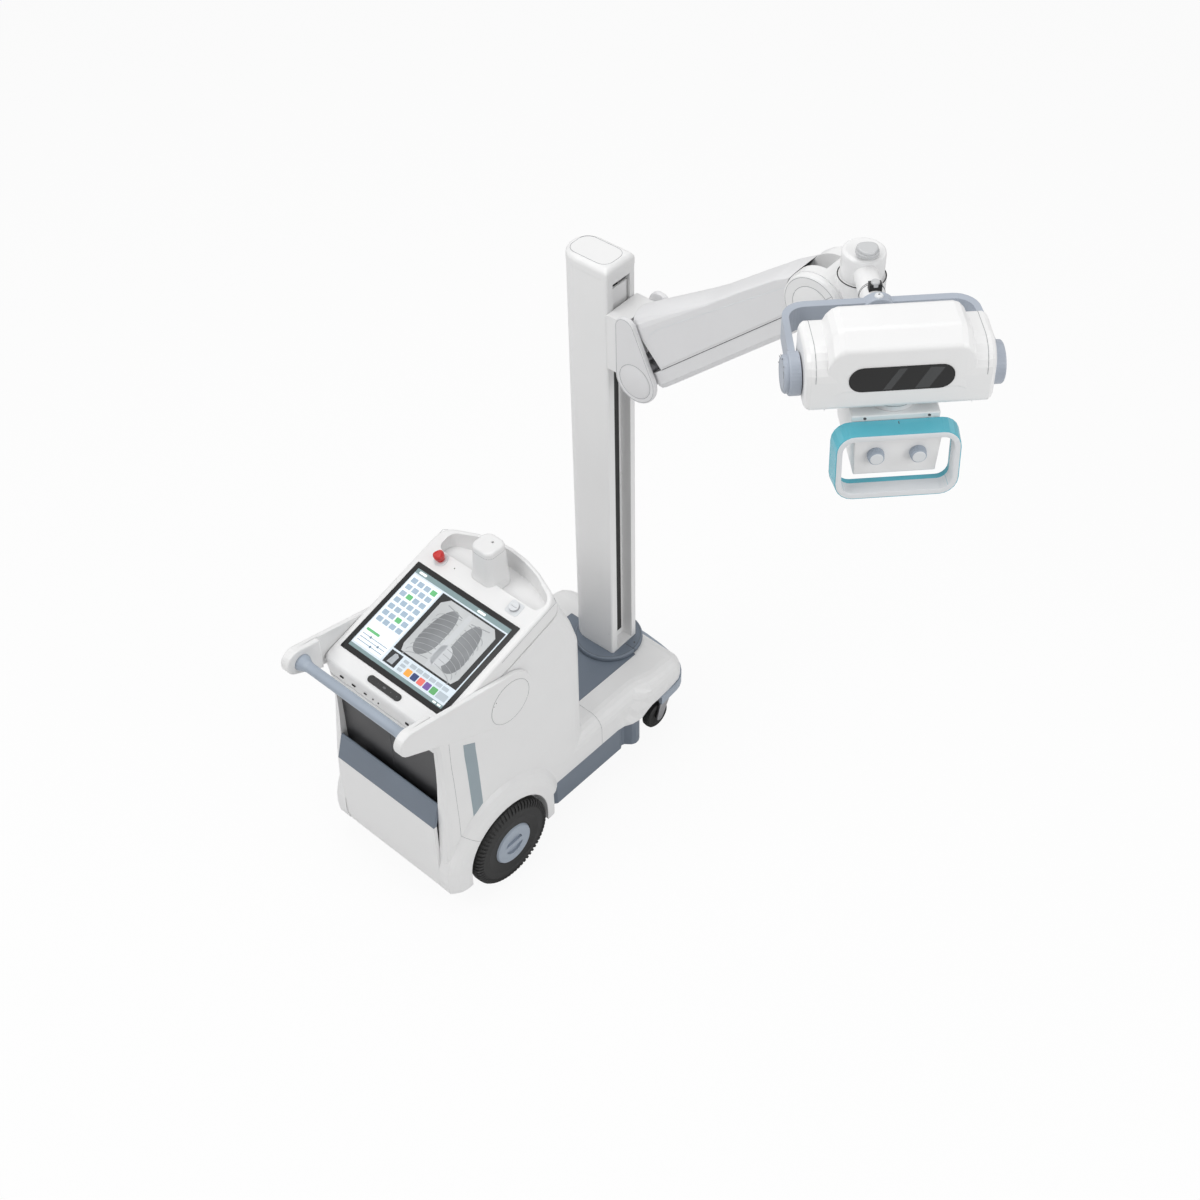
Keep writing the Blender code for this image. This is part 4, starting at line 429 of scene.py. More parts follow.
def side_line(points, side):
    """A path on the body's side from points of (x, z), over the fender where it bulges out."""
    path = []
    for one, two in zip(points, points[1:]):
        for step in range(SEAM_STEPS + (two == points[-1])):
            x = one[0] + (two[0] - one[0]) * step / SEAM_STEPS
            z = one[1] + (two[1] - one[1]) * step / SEAM_STEPS
            reach = math.hypot(x, z - WHEEL_Z)
            out = max(shell_half(z), between(FENDER_HALF, reach) if reach < FENDER_REACH else 0.0)
            path.append((x, side * (out - 0.0001), z))
    return path


def body_seams(side, label):
    seams = Shape()
    seams.line(side_line(REAR_SEAM, side), REAR_SEAM_LINE)
    x, half, down = TOP_SEAM_END
    path = [(x, side * half, console_z(x) - down)]
    path += [(x, side * TOP_SEAM_HALF, console_z(x) - TOP_SEAM_DOWN) for x in TOP_SEAM_X]
    seams.line(path, HAIRLINE)
    seams.piece("body_seam_" + label, SEAM, "chassis")


def side_plate(side, label):
    """A blank slanted plate that follows the shell's side, its ends cut across."""
    rings = []
    for step in range(BADGE_STEPS + 1):
        part = step / BADGE_STEPS
        z = BADGE_LOW + (BADGE_HIGH - BADGE_LOW) * part
        rear = BADGE_REAR + BADGE_REAR_DRIFT * part
        front = BADGE_FRONT + BADGE_FRONT_DRIFT * part
        if z > BADGE_HIGH - BADGE_TOP_CUT:
            front = rear + (front - rear) * (BADGE_HIGH - z) / BADGE_TOP_CUT
        if z < BADGE_LOW + BADGE_LOW_CUT:
            front = rear + (front - rear) * (z - BADGE_LOW) / BADGE_LOW_CUT
        front = max(front, rear + 0.0004)
        low = side * (shell_half(z) - BADGE_SUNK)
        high = side * (shell_half(z) + BADGE_PROUD)
        rings.append([(rear, low, z), (front, low, z), (front, high, z), (rear, high, z)])
    Shape().rings(rings).piece("side_plate_" + label, SIDE_PLATE, "chassis")


def handle_cover(side, label):
    face = side * HANDLE_FACE
    x, z = HANDLE_PIVOT
    rim = HANDLE_COVER
    profile = ((0, -0.002), (rim, -0.002), (rim, 0.0002), (rim - 0.0008, 0.0007), (0, 0.0007))
    cover = Shape()
    cover.turned([(radius, face + side * out) for radius, out in profile], (x, 0, z), "y", 64)
    cover.piece("handle_cover_" + label, WHITE, "chassis")
    gap = Shape()
    gap.loop(arc(HANDLE_PIVOT, HANDLE_COVER_GAP, 0, 354, 60), face + side * 0.0001, "y", HAIRLINE)
    gap.piece("handle_cover_gap_" + label, SEAM, "chassis")
    screws = Shape()
    for x, z, size in HANDLE_SCREWS:
        profile = ((0, 0.0), (size, 0.0), (size, 0.0006), (size * 0.5, 0.0009), (0, 0.0009))
        screws.turned([(radius, face + side * out) for radius, out in profile], (x, 0, z), "y", 14)
    screws.piece("handle_screws_" + label, DARK_MARK_AND_SEAM_SHADOW, "chassis")


# Rear lip ports, deck joint and bin lines

PORT_FACE = -0.2142
PORT_Z = 0.768
PORT_ROOT = 0.004
PORTS = ((0.150, 0.014, 0.006), (0.100, 0.014, 0.006), (0.052, 0.011, 0.0035), (-0.118, 0.012, 0.008))
PORT_DOTS = (0.020, -0.002)
PORT_DOT = ((0, PORT_ROOT), (0.0024, PORT_ROOT), (0.0024, -0.0006), (0.0012, -0.0012), (0, -0.0012))
SLOT_LOW, SLOT_HIGH = (0.1845, 0.640), (0.1870, 0.700)
DECK_JOINT_X = 0.4439
DECK_JOINT_SIDE = 0.2448
DECK_JOINT_LEVELS = (0.1940, 0.2300)
DECK_JOINT_ROUND = ((0.0, 0.2625), 0.0468)
DECK_JOINT_INSET = 0.198
DECK_JOINT_END = (0.1415, 0.3093)
LINER_FACE = -0.1884
LINER_LEVELS = (0.475, 0.698)
LINER_LOW, LINER_HIGH, LINER_CORNER = (-0.198, 0.13), (0.198, 0.690), 0.028


def port_row():
    # The ports and the rear slot are dark plates: painted shade in place of openings.
    ports = Shape()
    for y, wide, tall in PORTS:
        low, high = (y - wide / 2, PORT_Z - tall / 2), (y + wide / 2, PORT_Z + tall / 2)
        outline = rounded_rectangle(low, high, 0.0012, 2)
        ports.plate(outline, PORT_FACE + PORT_ROOT, PORT_FACE - 0.0008, "x", 0.0003)
        ports.plate(shrunk(outline, 0.0022), PORT_FACE, PORT_FACE - 0.0013, "x", 0.0003)
    for y in PORT_DOTS:
        ports.turned([(radius, PORT_FACE + out) for radius, out in PORT_DOT], (0, y, PORT_Z), "x", 14)
    ports.piece("port_row", HOLE_SHADE, "chassis")
    slot = Shape()
    slot.plate(rounded_rectangle(SLOT_LOW, SLOT_HIGH, 0.001, 2), -0.190, -0.2034, "x", 0.0003)
    slot.piece("rear_slot", HOLE_SHADE, "chassis")


def deck_joint():
    joint = Shape()
    for side, _ in SIDES:
        path = [(side * DECK_JOINT_SIDE, z) for z in DECK_JOINT_LEVELS]
        path += [(side * (DECK_JOINT_INSET + out), z) for out, z in arc(*DECK_JOINT_ROUND, 0, 90, 8)]
        path.append((side * DECK_JOINT_END[0], DECK_JOINT_END[1]))
        joint.line(laid(path, DECK_JOINT_X, "x"), THIN_LINE)
    joint.piece("deck_joint_line", SEAM, "chassis")


def liner_lines():
    liner = Shape()
    liner.line([(LINER_FACE, 0.0, z) for z in LINER_LEVELS], THIN_LINE)
    liner.loop(rounded_rectangle(LINER_LOW, LINER_HIGH, LINER_CORNER, 5), LINER_FACE, "x", 0.0007)
    paint = finish("liner line", srgb(0.33, 0.33, 0.34), rough=0.5)
    liner.piece("bin_liner_lines", paint, "chassis")


# Console controls

STOP_PLACE = (0.201, 0.152)
STOP_BASE = (
    (0.0128, 0.0003),
    (0.0225, 0.0003),
    (0.0225, 0.0020),
    (0.0205, 0.0038),
    (0.0150, 0.0042),
    (0.0128, 0.0036),
)
STOP_CAP = (
    (0.0120, 0.0170),
    (0.0172, 0.0190),
    (0.0178, 0.0240),
    (0.0165, 0.0290),
    (0.0120, 0.0326),
    (0.0040, 0.0332),
)
STOP_LOBES = 3
KEY_PLACE = (0.201, -0.146)
KEY_BASE_LOW, KEY_BASE_HIGH, KEY_BASE_CORNER = (-0.0225, -0.0235), (0.0210, 0.0235), 0.0085
KEY_COLLAR = ((0.0160, 0.0018), (0.0185, 0.0018), (0.0185, 0.0030), (0.0170, 0.0038), (0.0160, 0.0034))
KEY_RING = (
    (0.0115, 0.0109),
    (0.0150, 0.0109),
    (0.0150, 0.0118),
    (0.0142, 0.0124),
    (0.0122, 0.0124),
    (0.0115, 0.0118),
)
KEY_TAB_LOW, KEY_TAB_HIGH = (-0.0018, -0.0100), (0.0018, 0.0100)
LAMP_PLACE = (0.201, 0.096)
LAMP = ((0, -0.001), (0.0019, -0.001), (0.0019, 0.0004), (0.0009, 0.0009), (0, 0.0010))
STRIP_PLACE = (-0.1862, -0.005)
STRIP_MARKS = (
    (0.050, 0.0006, 0.0045),
    (0.025, 0.0050, 0.0006),
    (0.018, 0.0050, 0.0006),
    (0.000, 0.0060, 0.0110),
    (-0.026, 0.0030, 0.0030),
    (-0.050, 0.0040, 0.0016),
)
DOCK_PLACE = (0.252, -0.001)
DOCK_HALF = 0.0796 / 2
DOCK_CORNER = 0.024
DOCK_SEAM_Z = 1.0350
TRAY_REAR_X = 0.226
TRAY_DEPTH = 0.034
HOOK_MARKS = ((-0.106, -0.094, 0.010, 0.032), (-0.098, -0.084, 0.001, 0.022))


def stop_button():
    place = console_place(*STOP_PLACE)
    Shape().turned(STOP_BASE, steps=36).piece("stop_base", CAP_WHITE, "chassis", place)
    rings = [laid(waved(0.93 * size, 0.07 * size, STOP_LOBES, 36), height) for size, height in STOP_CAP]
    Shape().rings(rings).piece("stop_cap", RED, "chassis", place)


def key_switch():
    place = console_place(*KEY_PLACE)
    base = Shape()
    outline = rounded_rectangle(KEY_BASE_LOW, KEY_BASE_HIGH, KEY_BASE_CORNER, 4)
    base.plate(outline, 0.0002, 0.0020, "z", 0.0006)
    base.turned(KEY_COLLAR)
    base.piece("key_base", CAP_WHITE, "chassis", place)
    key = Shape()
    key.turned(KEY_RING)
    key.plate(rounded_rectangle(KEY_TAB_LOW, KEY_TAB_HIGH, 0.0012, 3), 0.0108, 0.0150, "z", 0.0006)
    key.piece("key_switch_cap", CAP_WHITE, "chassis", place)


def small_console_marks():
    # The charge lamp is a near-black dot in the same paint as the hole shade.
    Shape().turned(LAMP, steps=16).piece("charge_lamp", HOLE_SHADE, "chassis", console_place(*LAMP_PLACE))
    marks = Shape()
    for y, tall, wide in STRIP_MARKS:
        low, high = (-tall / 2, y - wide / 2), (tall / 2, y + wide / 2)
        outline = rounded_rectangle(low, high, min(tall, wide) * 0.4, 2)
        marks.plate(outline, 0.0022, 0.0027, "z", 0.0001)
    paint = finish("strip mark", srgb(0.36, 0.36, 0.37), rough=0.5)
    marks.piece("strip_marks", paint, "chassis", console_place(*STRIP_PLACE))
    x, y = DOCK_PLACE
    low, high = (x - DOCK_HALF, y - DOCK_HALF), (x + DOCK_HALF, y + DOCK_HALF)
    dock = Shape()
    dock.loop(rounded_rectangle(low, high, DOCK_CORNER, 6), DOCK_SEAM_Z, "z", HAIRLINE)
    dock.piece("dock_cap_seam", SEAM, "chassis")
    hook = Shape()
    floor_z = console_z(TRAY_REAR_X) - TRAY_DEPTH
    for left, right, low, high in HOOK_MARKS:
        outline = rounded_rectangle((left, floor_z + low), (right, floor_z + high), 0.0012, 2)
        hook.plate(outline, TRAY_REAR_X - 0.0015, TRAY_REAR_X + 0.0008, "x", 0.0004)
    hook.piece("tray_hook_recess", finish("hook shadow", srgb(0.55, 0.55, 0.55), rough=0.6), "chassis")


# The screen's picture, generic and made of thin plates; h runs right and v up for the operator

SCREEN_BASE = 0.0012
SCREEN_TOP = 0.0014
SCREEN_STEP = 0.00015
PAGE_HALF, PAGE_TALL = 0.188, 0.151
RIB_HEIGHT = 0.0019
CHEST_LEFT, CHEST_LOW, CHEST_RIGHT, CHEST_HIGH = -0.050, -0.078, 0.168, 0.124
CHEST_CUT = 0.022
CHEST_FOOT = 0.010
SPINE_H = 0.059
SPINE_HALF = 0.009
LUNG_REACH, LUNG_LEVEL, LUNG_TALL = 0.052, 0.022, 0.084
RIB_COUNT = 9
RIB_TOP, RIB_PITCH, RIB_DROP = 0.092, 0.0185, 0.030
KEY_ROWS, KEY_COLUMNS = 7, 4
KEY_LEFT, KEY_TOP, KEY_STEP, KEY_FALL = -0.178, 0.104, 0.0262, 0.0250
KEY_WIDE, KEY_TALL = 0.0205, 0.0165
GREEN_KEYS = ((0, 3), (2, 1), (5, 2))
SLIDERS = ((-0.100, 0.03), (-0.112, 0.07), (-0.124, 0.05))
TILE_LEFT, TILE_LOW, TILE_SIZE, TILE_STEP = 0.018, -0.132, 0.022, 0.0255
TILES = (
    ("orange", (0.90, 0.62, 0.25)),
    ("navy", (0.17, 0.24, 0.42)),
    ("salmon", (0.86, 0.42, 0.38)),
    ("violet", (0.42, 0.31, 0.58)),
    ("leaf", (0.35, 0.62, 0.38)),
)


def lit(name, colour, glow=0.25, vary=0.03):
    made = finish(name, colour, rough=0.25, vary=vary, grain=300.0, bump=0.0)
    shader = made.node_tree.nodes["Principled BSDF"]
    shader.inputs["Emission Color"].default_value = colour
    shader.inputs["Emission Strength"].default_value = glow
    return made


def box(h0, v0, h1, v1, corner=0.0012):
    return rounded_rectangle((h0, v0), (h1, v1), corner, 2)


def put(name, colour, outlines, level, vary=0.03):
    """Thin plates of one colour on the glass, each level a little above the last."""
    shape = Shape()
    low = SCREEN_BASE + SCREEN_STEP * (level - 1)
    high = SCREEN_TOP + SCREEN_STEP * level
    for outline in outlines:
        shape.plate([(v, -h) for h, v in outline], low, high, "z", 0.00005)
    paint = lit("screen " + name, colour, vary=vary)
    shape.piece("screen_" + name, paint, "chassis", console_place(GLASS_X, 0.0))


def screen_bars():
    put("page", srgb(0.80, 0.84, 0.87), [box(-PAGE_HALF, -PAGE_TALL, PAGE_HALF, PAGE_TALL, 0.002)], 1)
    bars = [box(-PAGE_HALF, 0.135, PAGE_HALF, PAGE_TALL), box(-PAGE_HALF, -PAGE_TALL, PAGE_HALF, -0.140)]
    put("bars", srgb(0.47, 0.55, 0.56), bars, 2)
    pills = [box(-0.176, 0.1390, -0.146, 0.1470, 0.0038), box(0.060, 0.1390, 0.092, 0.1470, 0.0038)]
    pills += [box(0.150, -0.1485, 0.164, -0.1425, 0.0028), box(0.168, -0.1485, 0.182, -0.1425, 0.0028)]
    put("pills", srgb(0.93, 0.95, 0.95), pills, 3)


def screen_chest():
    put("plate_back", srgb(0.06, 0.065, 0.07), [box(-0.066, -0.084, 0.184, 0.130)], 2, 0.2)
    chest = [
        (CHEST_RIGHT, CHEST_HIGH - CHEST_CUT),
        (CHEST_RIGHT - CHEST_CUT, CHEST_HIGH),
        (CHEST_LEFT + CHEST_CUT, CHEST_HIGH),
        (CHEST_LEFT, CHEST_HIGH - CHEST_CUT),
        (CHEST_LEFT, CHEST_LOW + CHEST_CUT),
        (CHEST_LEFT + CHEST_FOOT, CHEST_LOW),
        (CHEST_RIGHT - CHEST_FOOT, CHEST_LOW),
        (CHEST_RIGHT, CHEST_LOW + CHEST_CUT),
    ]
    put("chest", srgb(0.70, 0.71, 0.715), [chest], 3, 0.10)
    lungs = []
    for side, _ in SIDES:
        lung = []
        for step in range(28):
            angle = 2 * math.pi * step / 28
            wide = 0.034 + 0.010 * max(0.0, -math.sin(angle))
            out = LUNG_REACH + wide * math.cos(angle) - 0.006 * math.sin(angle)
            lung.append((SPINE_H + side * out, LUNG_LEVEL + LUNG_TALL * math.sin(angle)))
        lungs.append(lung)
    put("lungs", srgb(0.46, 0.47, 0.48), lungs, 4, 0.25)
    ribs = Shape()
    for side, _ in SIDES:
        for index in range(RIB_COUNT):
            path = []
            for step in range(9):
                part = step / 8
                h = SPINE_H + side * (0.014 + 0.076 * math.sin(part * math.pi / 2))
                path.append((RIB_TOP - RIB_PITCH * index - RIB_DROP * part**1.6, -h, RIB_HEIGHT))
            ribs.line(path, 0.0011, 4)
    for side in (-1, 1):
        ends = ((0.108, 0.082), (0.098, 0.018))
        ribs.line([(v, -(SPINE_H + side * out), RIB_HEIGHT) for v, out in ends], 0.0016, 4)
    paint = lit("screen ribs", srgb(0.60, 0.61, 0.62), vary=0.08)
    ribs.piece("screen_ribs", paint, "chassis", console_place(GLASS_X, 0.0))
    heart = []
    for step in range(24):
        angle = 2 * math.pi * step / 24
        heart.append((SPINE_H + 0.014 + 0.030 * math.cos(angle), -0.026 + 0.036 * math.sin(angle)))
    spine = box(SPINE_H - SPINE_HALF, -0.076, SPINE_H + SPINE_HALF, 0.118, 0.004)
    put("heart", srgb(0.72, 0.73, 0.74), [heart, spine], 5, 0.06)


def screen_keys():
    put("panel", srgb(0.90, 0.93, 0.95), [box(-0.184, -0.134, -0.072, 0.130)], 2)
    keys, green = [], []
    for row in range(KEY_ROWS):
        for column in range(KEY_COLUMNS):
            h = KEY_LEFT + KEY_STEP * column
            v = KEY_TOP - KEY_FALL * row
            key = box(h, v, h + KEY_WIDE, v + KEY_TALL, 0.0022)
            (green if (row, column) in GREEN_KEYS else keys).append(key)
    put("keys", srgb(0.60, 0.675, 0.74), keys, 3)
    put("green_keys", srgb(0.38, 0.69, 0.45), green + [box(KEY_LEFT, -0.086, -0.126, -0.078, 0.003)], 3)
    sliders = [box(KEY_LEFT, v, -0.078, v + 0.0018, 0.0008) for v, at in SLIDERS]
    sliders += [box(KEY_LEFT + at, v - 0.003, KEY_LEFT + at + 0.006, v + 0.005, 0.002) for v, at in SLIDERS]
    put("sliders", srgb(0.42, 0.50, 0.57), sliders, 3)


def screen_tiles():
    for index, (name, shade) in enumerate(TILES):
        left = TILE_LEFT + TILE_STEP * index
        put(name, srgb(*shade), [box(left, TILE_LOW, left + TILE_SIZE, TILE_LOW + TILE_SIZE, 0.003)], 3)
    put("thumb_back", srgb(0.10, 0.11, 0.12), [box(-0.064, -0.134, -0.018, -0.090)], 2, 0.2)
    thumb = [(-0.030, -0.128), (-0.028, -0.100), (-0.038, -0.094), (-0.046, -0.096), (-0.052, -0.128)]
    put("thumb", srgb(0.62, 0.64, 0.66), [thumb], 3)
    small = [box(-0.008, low, 0.010, low + 0.0095, 0.002) for low in (-0.132, -0.1175, -0.103)]
    for index in range(6):
        left = TILE_LEFT + TILE_STEP * index
        small.append(box(left, -0.104, left + TILE_SIZE, -0.092, 0.002))
    small.append(box(0.146, -0.132, 0.182, -0.110, 0.002))
    put("small_keys", srgb(0.66, 0.70, 0.73), small, 3)


# Column, collar and carriage

BELT_LINE_A = 0.0363
BELT_LINE_LEVELS = (0.345, 1.742)
BELT_LINE = 0.0011
CAP_LOW, CAP_HIGH, CAP_CORNER = (-0.0890, -0.0440), (0.0520, 0.0440), 0.030
CAP_TOP = 1.8050
COLLAR_SPLIT = [(0.0700, 0.0, 0.3256), (0.1095, 0.0, 0.3256), (0.1110, 0.0, 0.3240), (0.1110, 0.0, 0.3120)]
COLLAR_GROOVE, COLLAR_GROOVE_Z = 0.1035, 0.3254
COLLAR_SCREW = ((0, 0.3240), (0.0030, 0.3240), (0.0030, 0.3260), (0.0018, 0.3264), (0, 0.3264))
COLLAR_SCREW_PLACE = (0.0900, 0.0230, 0.0)
CHEEK_FACE = 0.080
CHEEK_TOP = (0.1448, 1.6647)
CHEEK_LINE, CHEEK_TOP_LINE = 0.0645, 0.0301
CHEEK_COVER = 0.0505
CHEEK_RING = 0.0530
TAB_OUT, TAB_HALF = 0.034, 0.009
TAB_LOW, TAB_HIGH = 1.640, 1.664
MARK_ACROSS = (-0.010, 0.0, 0.010)
MARK_HALF = 0.002
MARK_LOW, MARK_HIGH = 1.6275, 1.6315


def cover_disc(radius, face, side, centre, steps):
    """A shallow round cover on the outside of a face that looks to one side."""
    lip = radius - 0.0012
    profile = ((0, -0.001), (radius, -0.001), (radius, 0.0004), (lip, 0.0010), (0, 0.0012))
    return Shape().turned([(size, face + side * out) for size, out in profile], centre, "y", steps)


def column_lines():
    belt = Shape()
    belt.line([(BELT_LINE_A, 0.0, z) for z in BELT_LINE_LEVELS], BELT_LINE)
    belt.piece("belt_line", finish("belt line", srgb(0.55, 0.56, 0.58), rough=0.4), "mast", MAST)
    cap = Shape()
    cap.loop(rounded_rectangle(CAP_LOW, CAP_HIGH, CAP_CORNER, 6), CAP_TOP, "z", THIN_LINE)
    cap.piece("cap_line", SEAM, "mast", MAST)
    collar = Shape()
    collar.line(COLLAR_SPLIT, 0.0007)
    collar.loop(arc((0.0, 0.0), COLLAR_GROOVE, 0, 354, 72), COLLAR_GROOVE_Z, "z", THIN_LINE)
    collar.turned(COLLAR_SCREW, COLLAR_SCREW_PLACE)
    collar.piece("collar_lines", DARK_MARK_AND_SEAM_SHADOW, "mast", MAST)


def cheek_covers():
    for side, label in SIDES:
        face = side * CHEEK_FACE
        rim = Shape()
        outline = band_outline(SHOULDER, CHEEK_LINE, CHEEK_TOP, CHEEK_TOP_LINE, 20)
        rim.loop(outline, face, "y", HAIRLINE)
        rim.loop(arc(SHOULDER, CHEEK_RING, 0, 354, 60), face, "y", THIN_LINE)
        rim.piece("cheek_lines_" + label, SEAM, "lift_carriage", MAST)
        disc = cover_disc(CHEEK_COVER, face, side, (SHOULDER[0], 0, SHOULDER[1]), 48)
        disc.piece("cheek_cover_" + label, GREY, "lift_carriage", MAST)


def carriage_tabs():
    tabs = Shape()
    for side, _ in SIDES:
        middle = side * TAB_OUT
        outline = rounded_rectangle((middle - TAB_HALF, TAB_LOW), (middle + TAB_HALF, TAB_HIGH), 0.004, 3)
        tabs.plate(outline, 0.110, 0.1188, "x", 0.0015)
    tabs.piece("carriage_tabs", WHITE, "lift_carriage", MAST)
    marks = Shape()
    for across in MARK_ACROSS:
        outline = rounded_rectangle((across - MARK_HALF, MARK_LOW), (across + MARK_HALF, MARK_HIGH), 0.001, 2)
        marks.plate(outline, 0.112, 0.1162, "x", 0.0003)
    marks.piece("carriage_marks", DARK_MARK_AND_SEAM_SHADOW, "lift_carriage", MAST)


# Arm and elbow

ARM_PANEL = (
    (0.106, 0.000),
    (0.116, 0.078),
    (0.140, 0.092),
    (0.176, 0.0965),
    (0.396, 0.076),
    (0.614, 0.054),
    (0.700, 0.045),
    (0.716, 0.036),
    (0.722, 0.004),
    (0.660, -0.012),
)
# The panel outline's points that carry the painted highlight line.
ARM_PANEL_HIGHLIGHT_SPAN = slice(1, 8)
ARM_PANEL_ROOT, ARM_PANEL_FACE = 0.058, 0.0620
ARM_HIGHLIGHT_FACE = 0.0616
ARM_SEAM_FACE = 0.0612
ARM_SEAM_U = (0.104, 0.25, 0.40, 0.55, 0.66)
ARM_SEAM_START, ARM_SEAM_LEVEL, ARM_SEAM_FALL = 0.101, -0.006, 0.02
ARM_SCREWS = ((0.676, 0.0180), (0.694, 0.0140))
ARM_SCREW = ((0, 0.061), (0.0022, 0.061), (0.0022, 0.0623), (0.0012, 0.0626), (0, 0.0626))
ELBOW_FACE = 0.079
ELBOW_COVER = 0.0530
ELBOW_RINGS = ((0.0545, 354, 60, THIN_LINE), (0.0775, 355, 72, HAIRLINE))
ELBOW_TICK = ((0.040, 0.040), (0.054, 0.054))


def arm_sides():
    for side, label in SIDES:
        panel = Shape()
        panel.plate(list(ARM_PANEL), side * ARM_PANEL_ROOT, side * ARM_PANEL_FACE, "y", 0.0012)
        panel.piece("arm_panel_" + label, GREY, "arm", ARM)
        # A dark line along the lower cover's seam is painted shadow.
        seam = Shape()
        path = [(u, ARM_SEAM_LEVEL - ARM_SEAM_FALL * (u - ARM_SEAM_START)) for u in ARM_SEAM_U]
        seam.line(laid(path, side * ARM_SEAM_FACE, "y"), BROAD_LINE)
        seam.piece("arm_seam_shadow_" + label, DARK_MARK_AND_SEAM_SHADOW, "arm", ARM)
        # A white line along the panel's upper edge is a painted highlight.
        rim = Shape()
        rim.line(laid(ARM_PANEL[ARM_PANEL_HIGHLIGHT_SPAN], side * ARM_HIGHLIGHT_FACE, "y"), BROAD_LINE)
        rim.piece("arm_panel_highlight_" + label, CAP_WHITE, "arm", ARM)
        screws = Shape()
        for u, n in ARM_SCREWS:
            screws.turned([(radius, side * out) for radius, out in ARM_SCREW], (u, 0, n), "y", 14)
        screws.piece("arm_screws_" + label, DARK_MARK_AND_SEAM_SHADOW, "arm", ARM)


def elbow_covers():
    for side, label in SIDES:
        face = side * ELBOW_FACE
        disc = cover_disc(ELBOW_COVER, face, side, (0, 0, 0), 56)
        disc.piece("elbow_cover_" + label, WHITE, "elbow", ELBOW)
        lines = Shape()
        for radius, stop, steps, thick in ELBOW_RINGS:
            lines.loop(arc((0, 0), radius, 0, stop, steps), face, "y", thick)
        lines.line(laid(ELBOW_TICK, face, "y"), THIN_LINE)
        lines.piece("elbow_lines_" + label, SEAM, "elbow", ELBOW)


# Post, stub and lock

SPLIT_RADIUS, SPLIT_Z, SPLIT_LINE = 0.0580, 0.0893, 0.0013
KNOB_U = 0.032
KNOB_RIM = ((0.1712, 0.0268, 0.0), (0.1724, 0.0280, 0.0005), (0.1790, 0.0280, 0.0005), (0.1800, 0.0270, 0.0))
KNOB_RIDGES = 24
STUB_RINGS = (0.1165, 0.1215)
STUB_RADIUS = 0.0304
LEVER_S = 0.140
LEVER = ((0, 0.040), (0.0105, 0.040), (0.0105, 0.0495), (0.0085, 0.0520), (0, 0.0524))
DOME_S = 0.186
DOME = ((0, 0.030), (0.0105, 0.030), (0.0105, 0.0442), (0.0088, 0.0466), (0.0045, 0.0478), (0, 0.0480))
DOME_HOLE = ((0, 0.046), (0.0022, 0.046), (0.0022, 0.0481), (0, 0.0484))


def ridged(centre, rows, ridges, steps, axis):
    """Rings of (depth, size, wave) round a centre, with ridges about the axis."""
    rings = []
    for depth, size, wave in rows:
        circle = waved(size, wave, ridges, steps)
        rings.append(laid([(centre[0] + u, centre[1] + v) for u, v in circle], depth, axis))
    return rings


def post_details():
    # The post's split is a dark line of painted shade in the gap.
    split = Shape()
    split.loop(arc((0, 0), SPLIT_RADIUS, 0, 355, 72), SPLIT_Z, "z", SPLIT_LINE)
    split.piece("post_split", HOLE_SHADE, "head_post", POST)
    knob = Shape().rings(ridged((KNOB_U, 0.0), KNOB_RIM, KNOB_RIDGES, 96, "z"))
    knob.piece("post_knob_rim", SILVER, "head_post", POST)
    stub = Shape()
    for s in STUB_RINGS:
        stub.loop(arc((0, 0), STUB_RADIUS, 0, 354, 48), s, "x", MARK_LINE)
    stub.piece("stub_rings", DARK_MARK_AND_SEAM_SHADOW, "head_post", YOKE)
    Shape().turned(LEVER, (LEVER_S, 0.0, 0.0), "z", 28).piece("lock_lever", SILVER, "head_post", YOKE)
    Shape().turned(DOME, (DOME_S, 0.0, 0.0), "z", 28).piece("hub_dome", CAP_WHITE, "head_yoke", YOKE)
    # A small dark disc on the dome is painted shade for its hole.
    Shape().turned(DOME_HOLE, (DOME_S, 0.0, 0.0), "z", 14).piece("hub_dome_hole", HOLE_SHADE, "head_yoke", YOKE)


# Tube head

HOUSING = (
    (-0.0729, 0.0942, 0.0142),
    (0.0754, 0.0942, 0.0668),
    (0.0744, -0.0516, 0.0),
    (-0.0709, -0.0516, 0.0),
)
SHARP_CORNER = 0.0005
HOUSING_SEAM_T = (0.188, -0.188)
HOUSING_SEAM_LOW = -0.030
GLARE = (
    [(0.030, 0.0020), (0.062, 0.0020), (0.092, 0.0560), (0.060, 0.0580)],
    [(-0.040, 0.0020), (-0.022, 0.0020), (0.010, 0.0580), (-0.008, 0.0580)],
)
PIVOT_FACES = ((0.2390, "L"), (-0.2506, "R"))
PIVOT_CORNER = ((0.030, 0.012), (0.030, 0.024), (0.022, 0.024))
PIVOT_TICKS = (60, 90, 120, 150, 180)
PIVOT_TICK_REACH = (0.040, 0.0445)
PIVOT_RING = 0.0350
NECK_RADIUS = 0.0567
NECK_LEVELS = (-0.0555, -0.0640)


def rounded(corners):
    """An outline from (u, v, radius) corners."""
    made = []
    count = len(corners)
    for index, (u, v, radius) in enumerate(corners):
        here = Vector((u, v))
        if radius < SHARP_CORNER:
            made.append((u, v))
            continue
        one = (Vector(corners[index - 1][:2]) - here).normalized()
        two = (Vector(corners[(index + 1) % count][:2]) - here).normalized()
        half = one.angle(two) / 2
        reach = radius / math.tan(half)
        centre = here + (one + two).normalized() * (radius / math.sin(half))
        start, stop = here + one * reach - centre, here + two * reach - centre
        for step in range(9):
            made.append(tuple(centre + start.slerp(stop, step / 8).normalized() * radius))
    return made


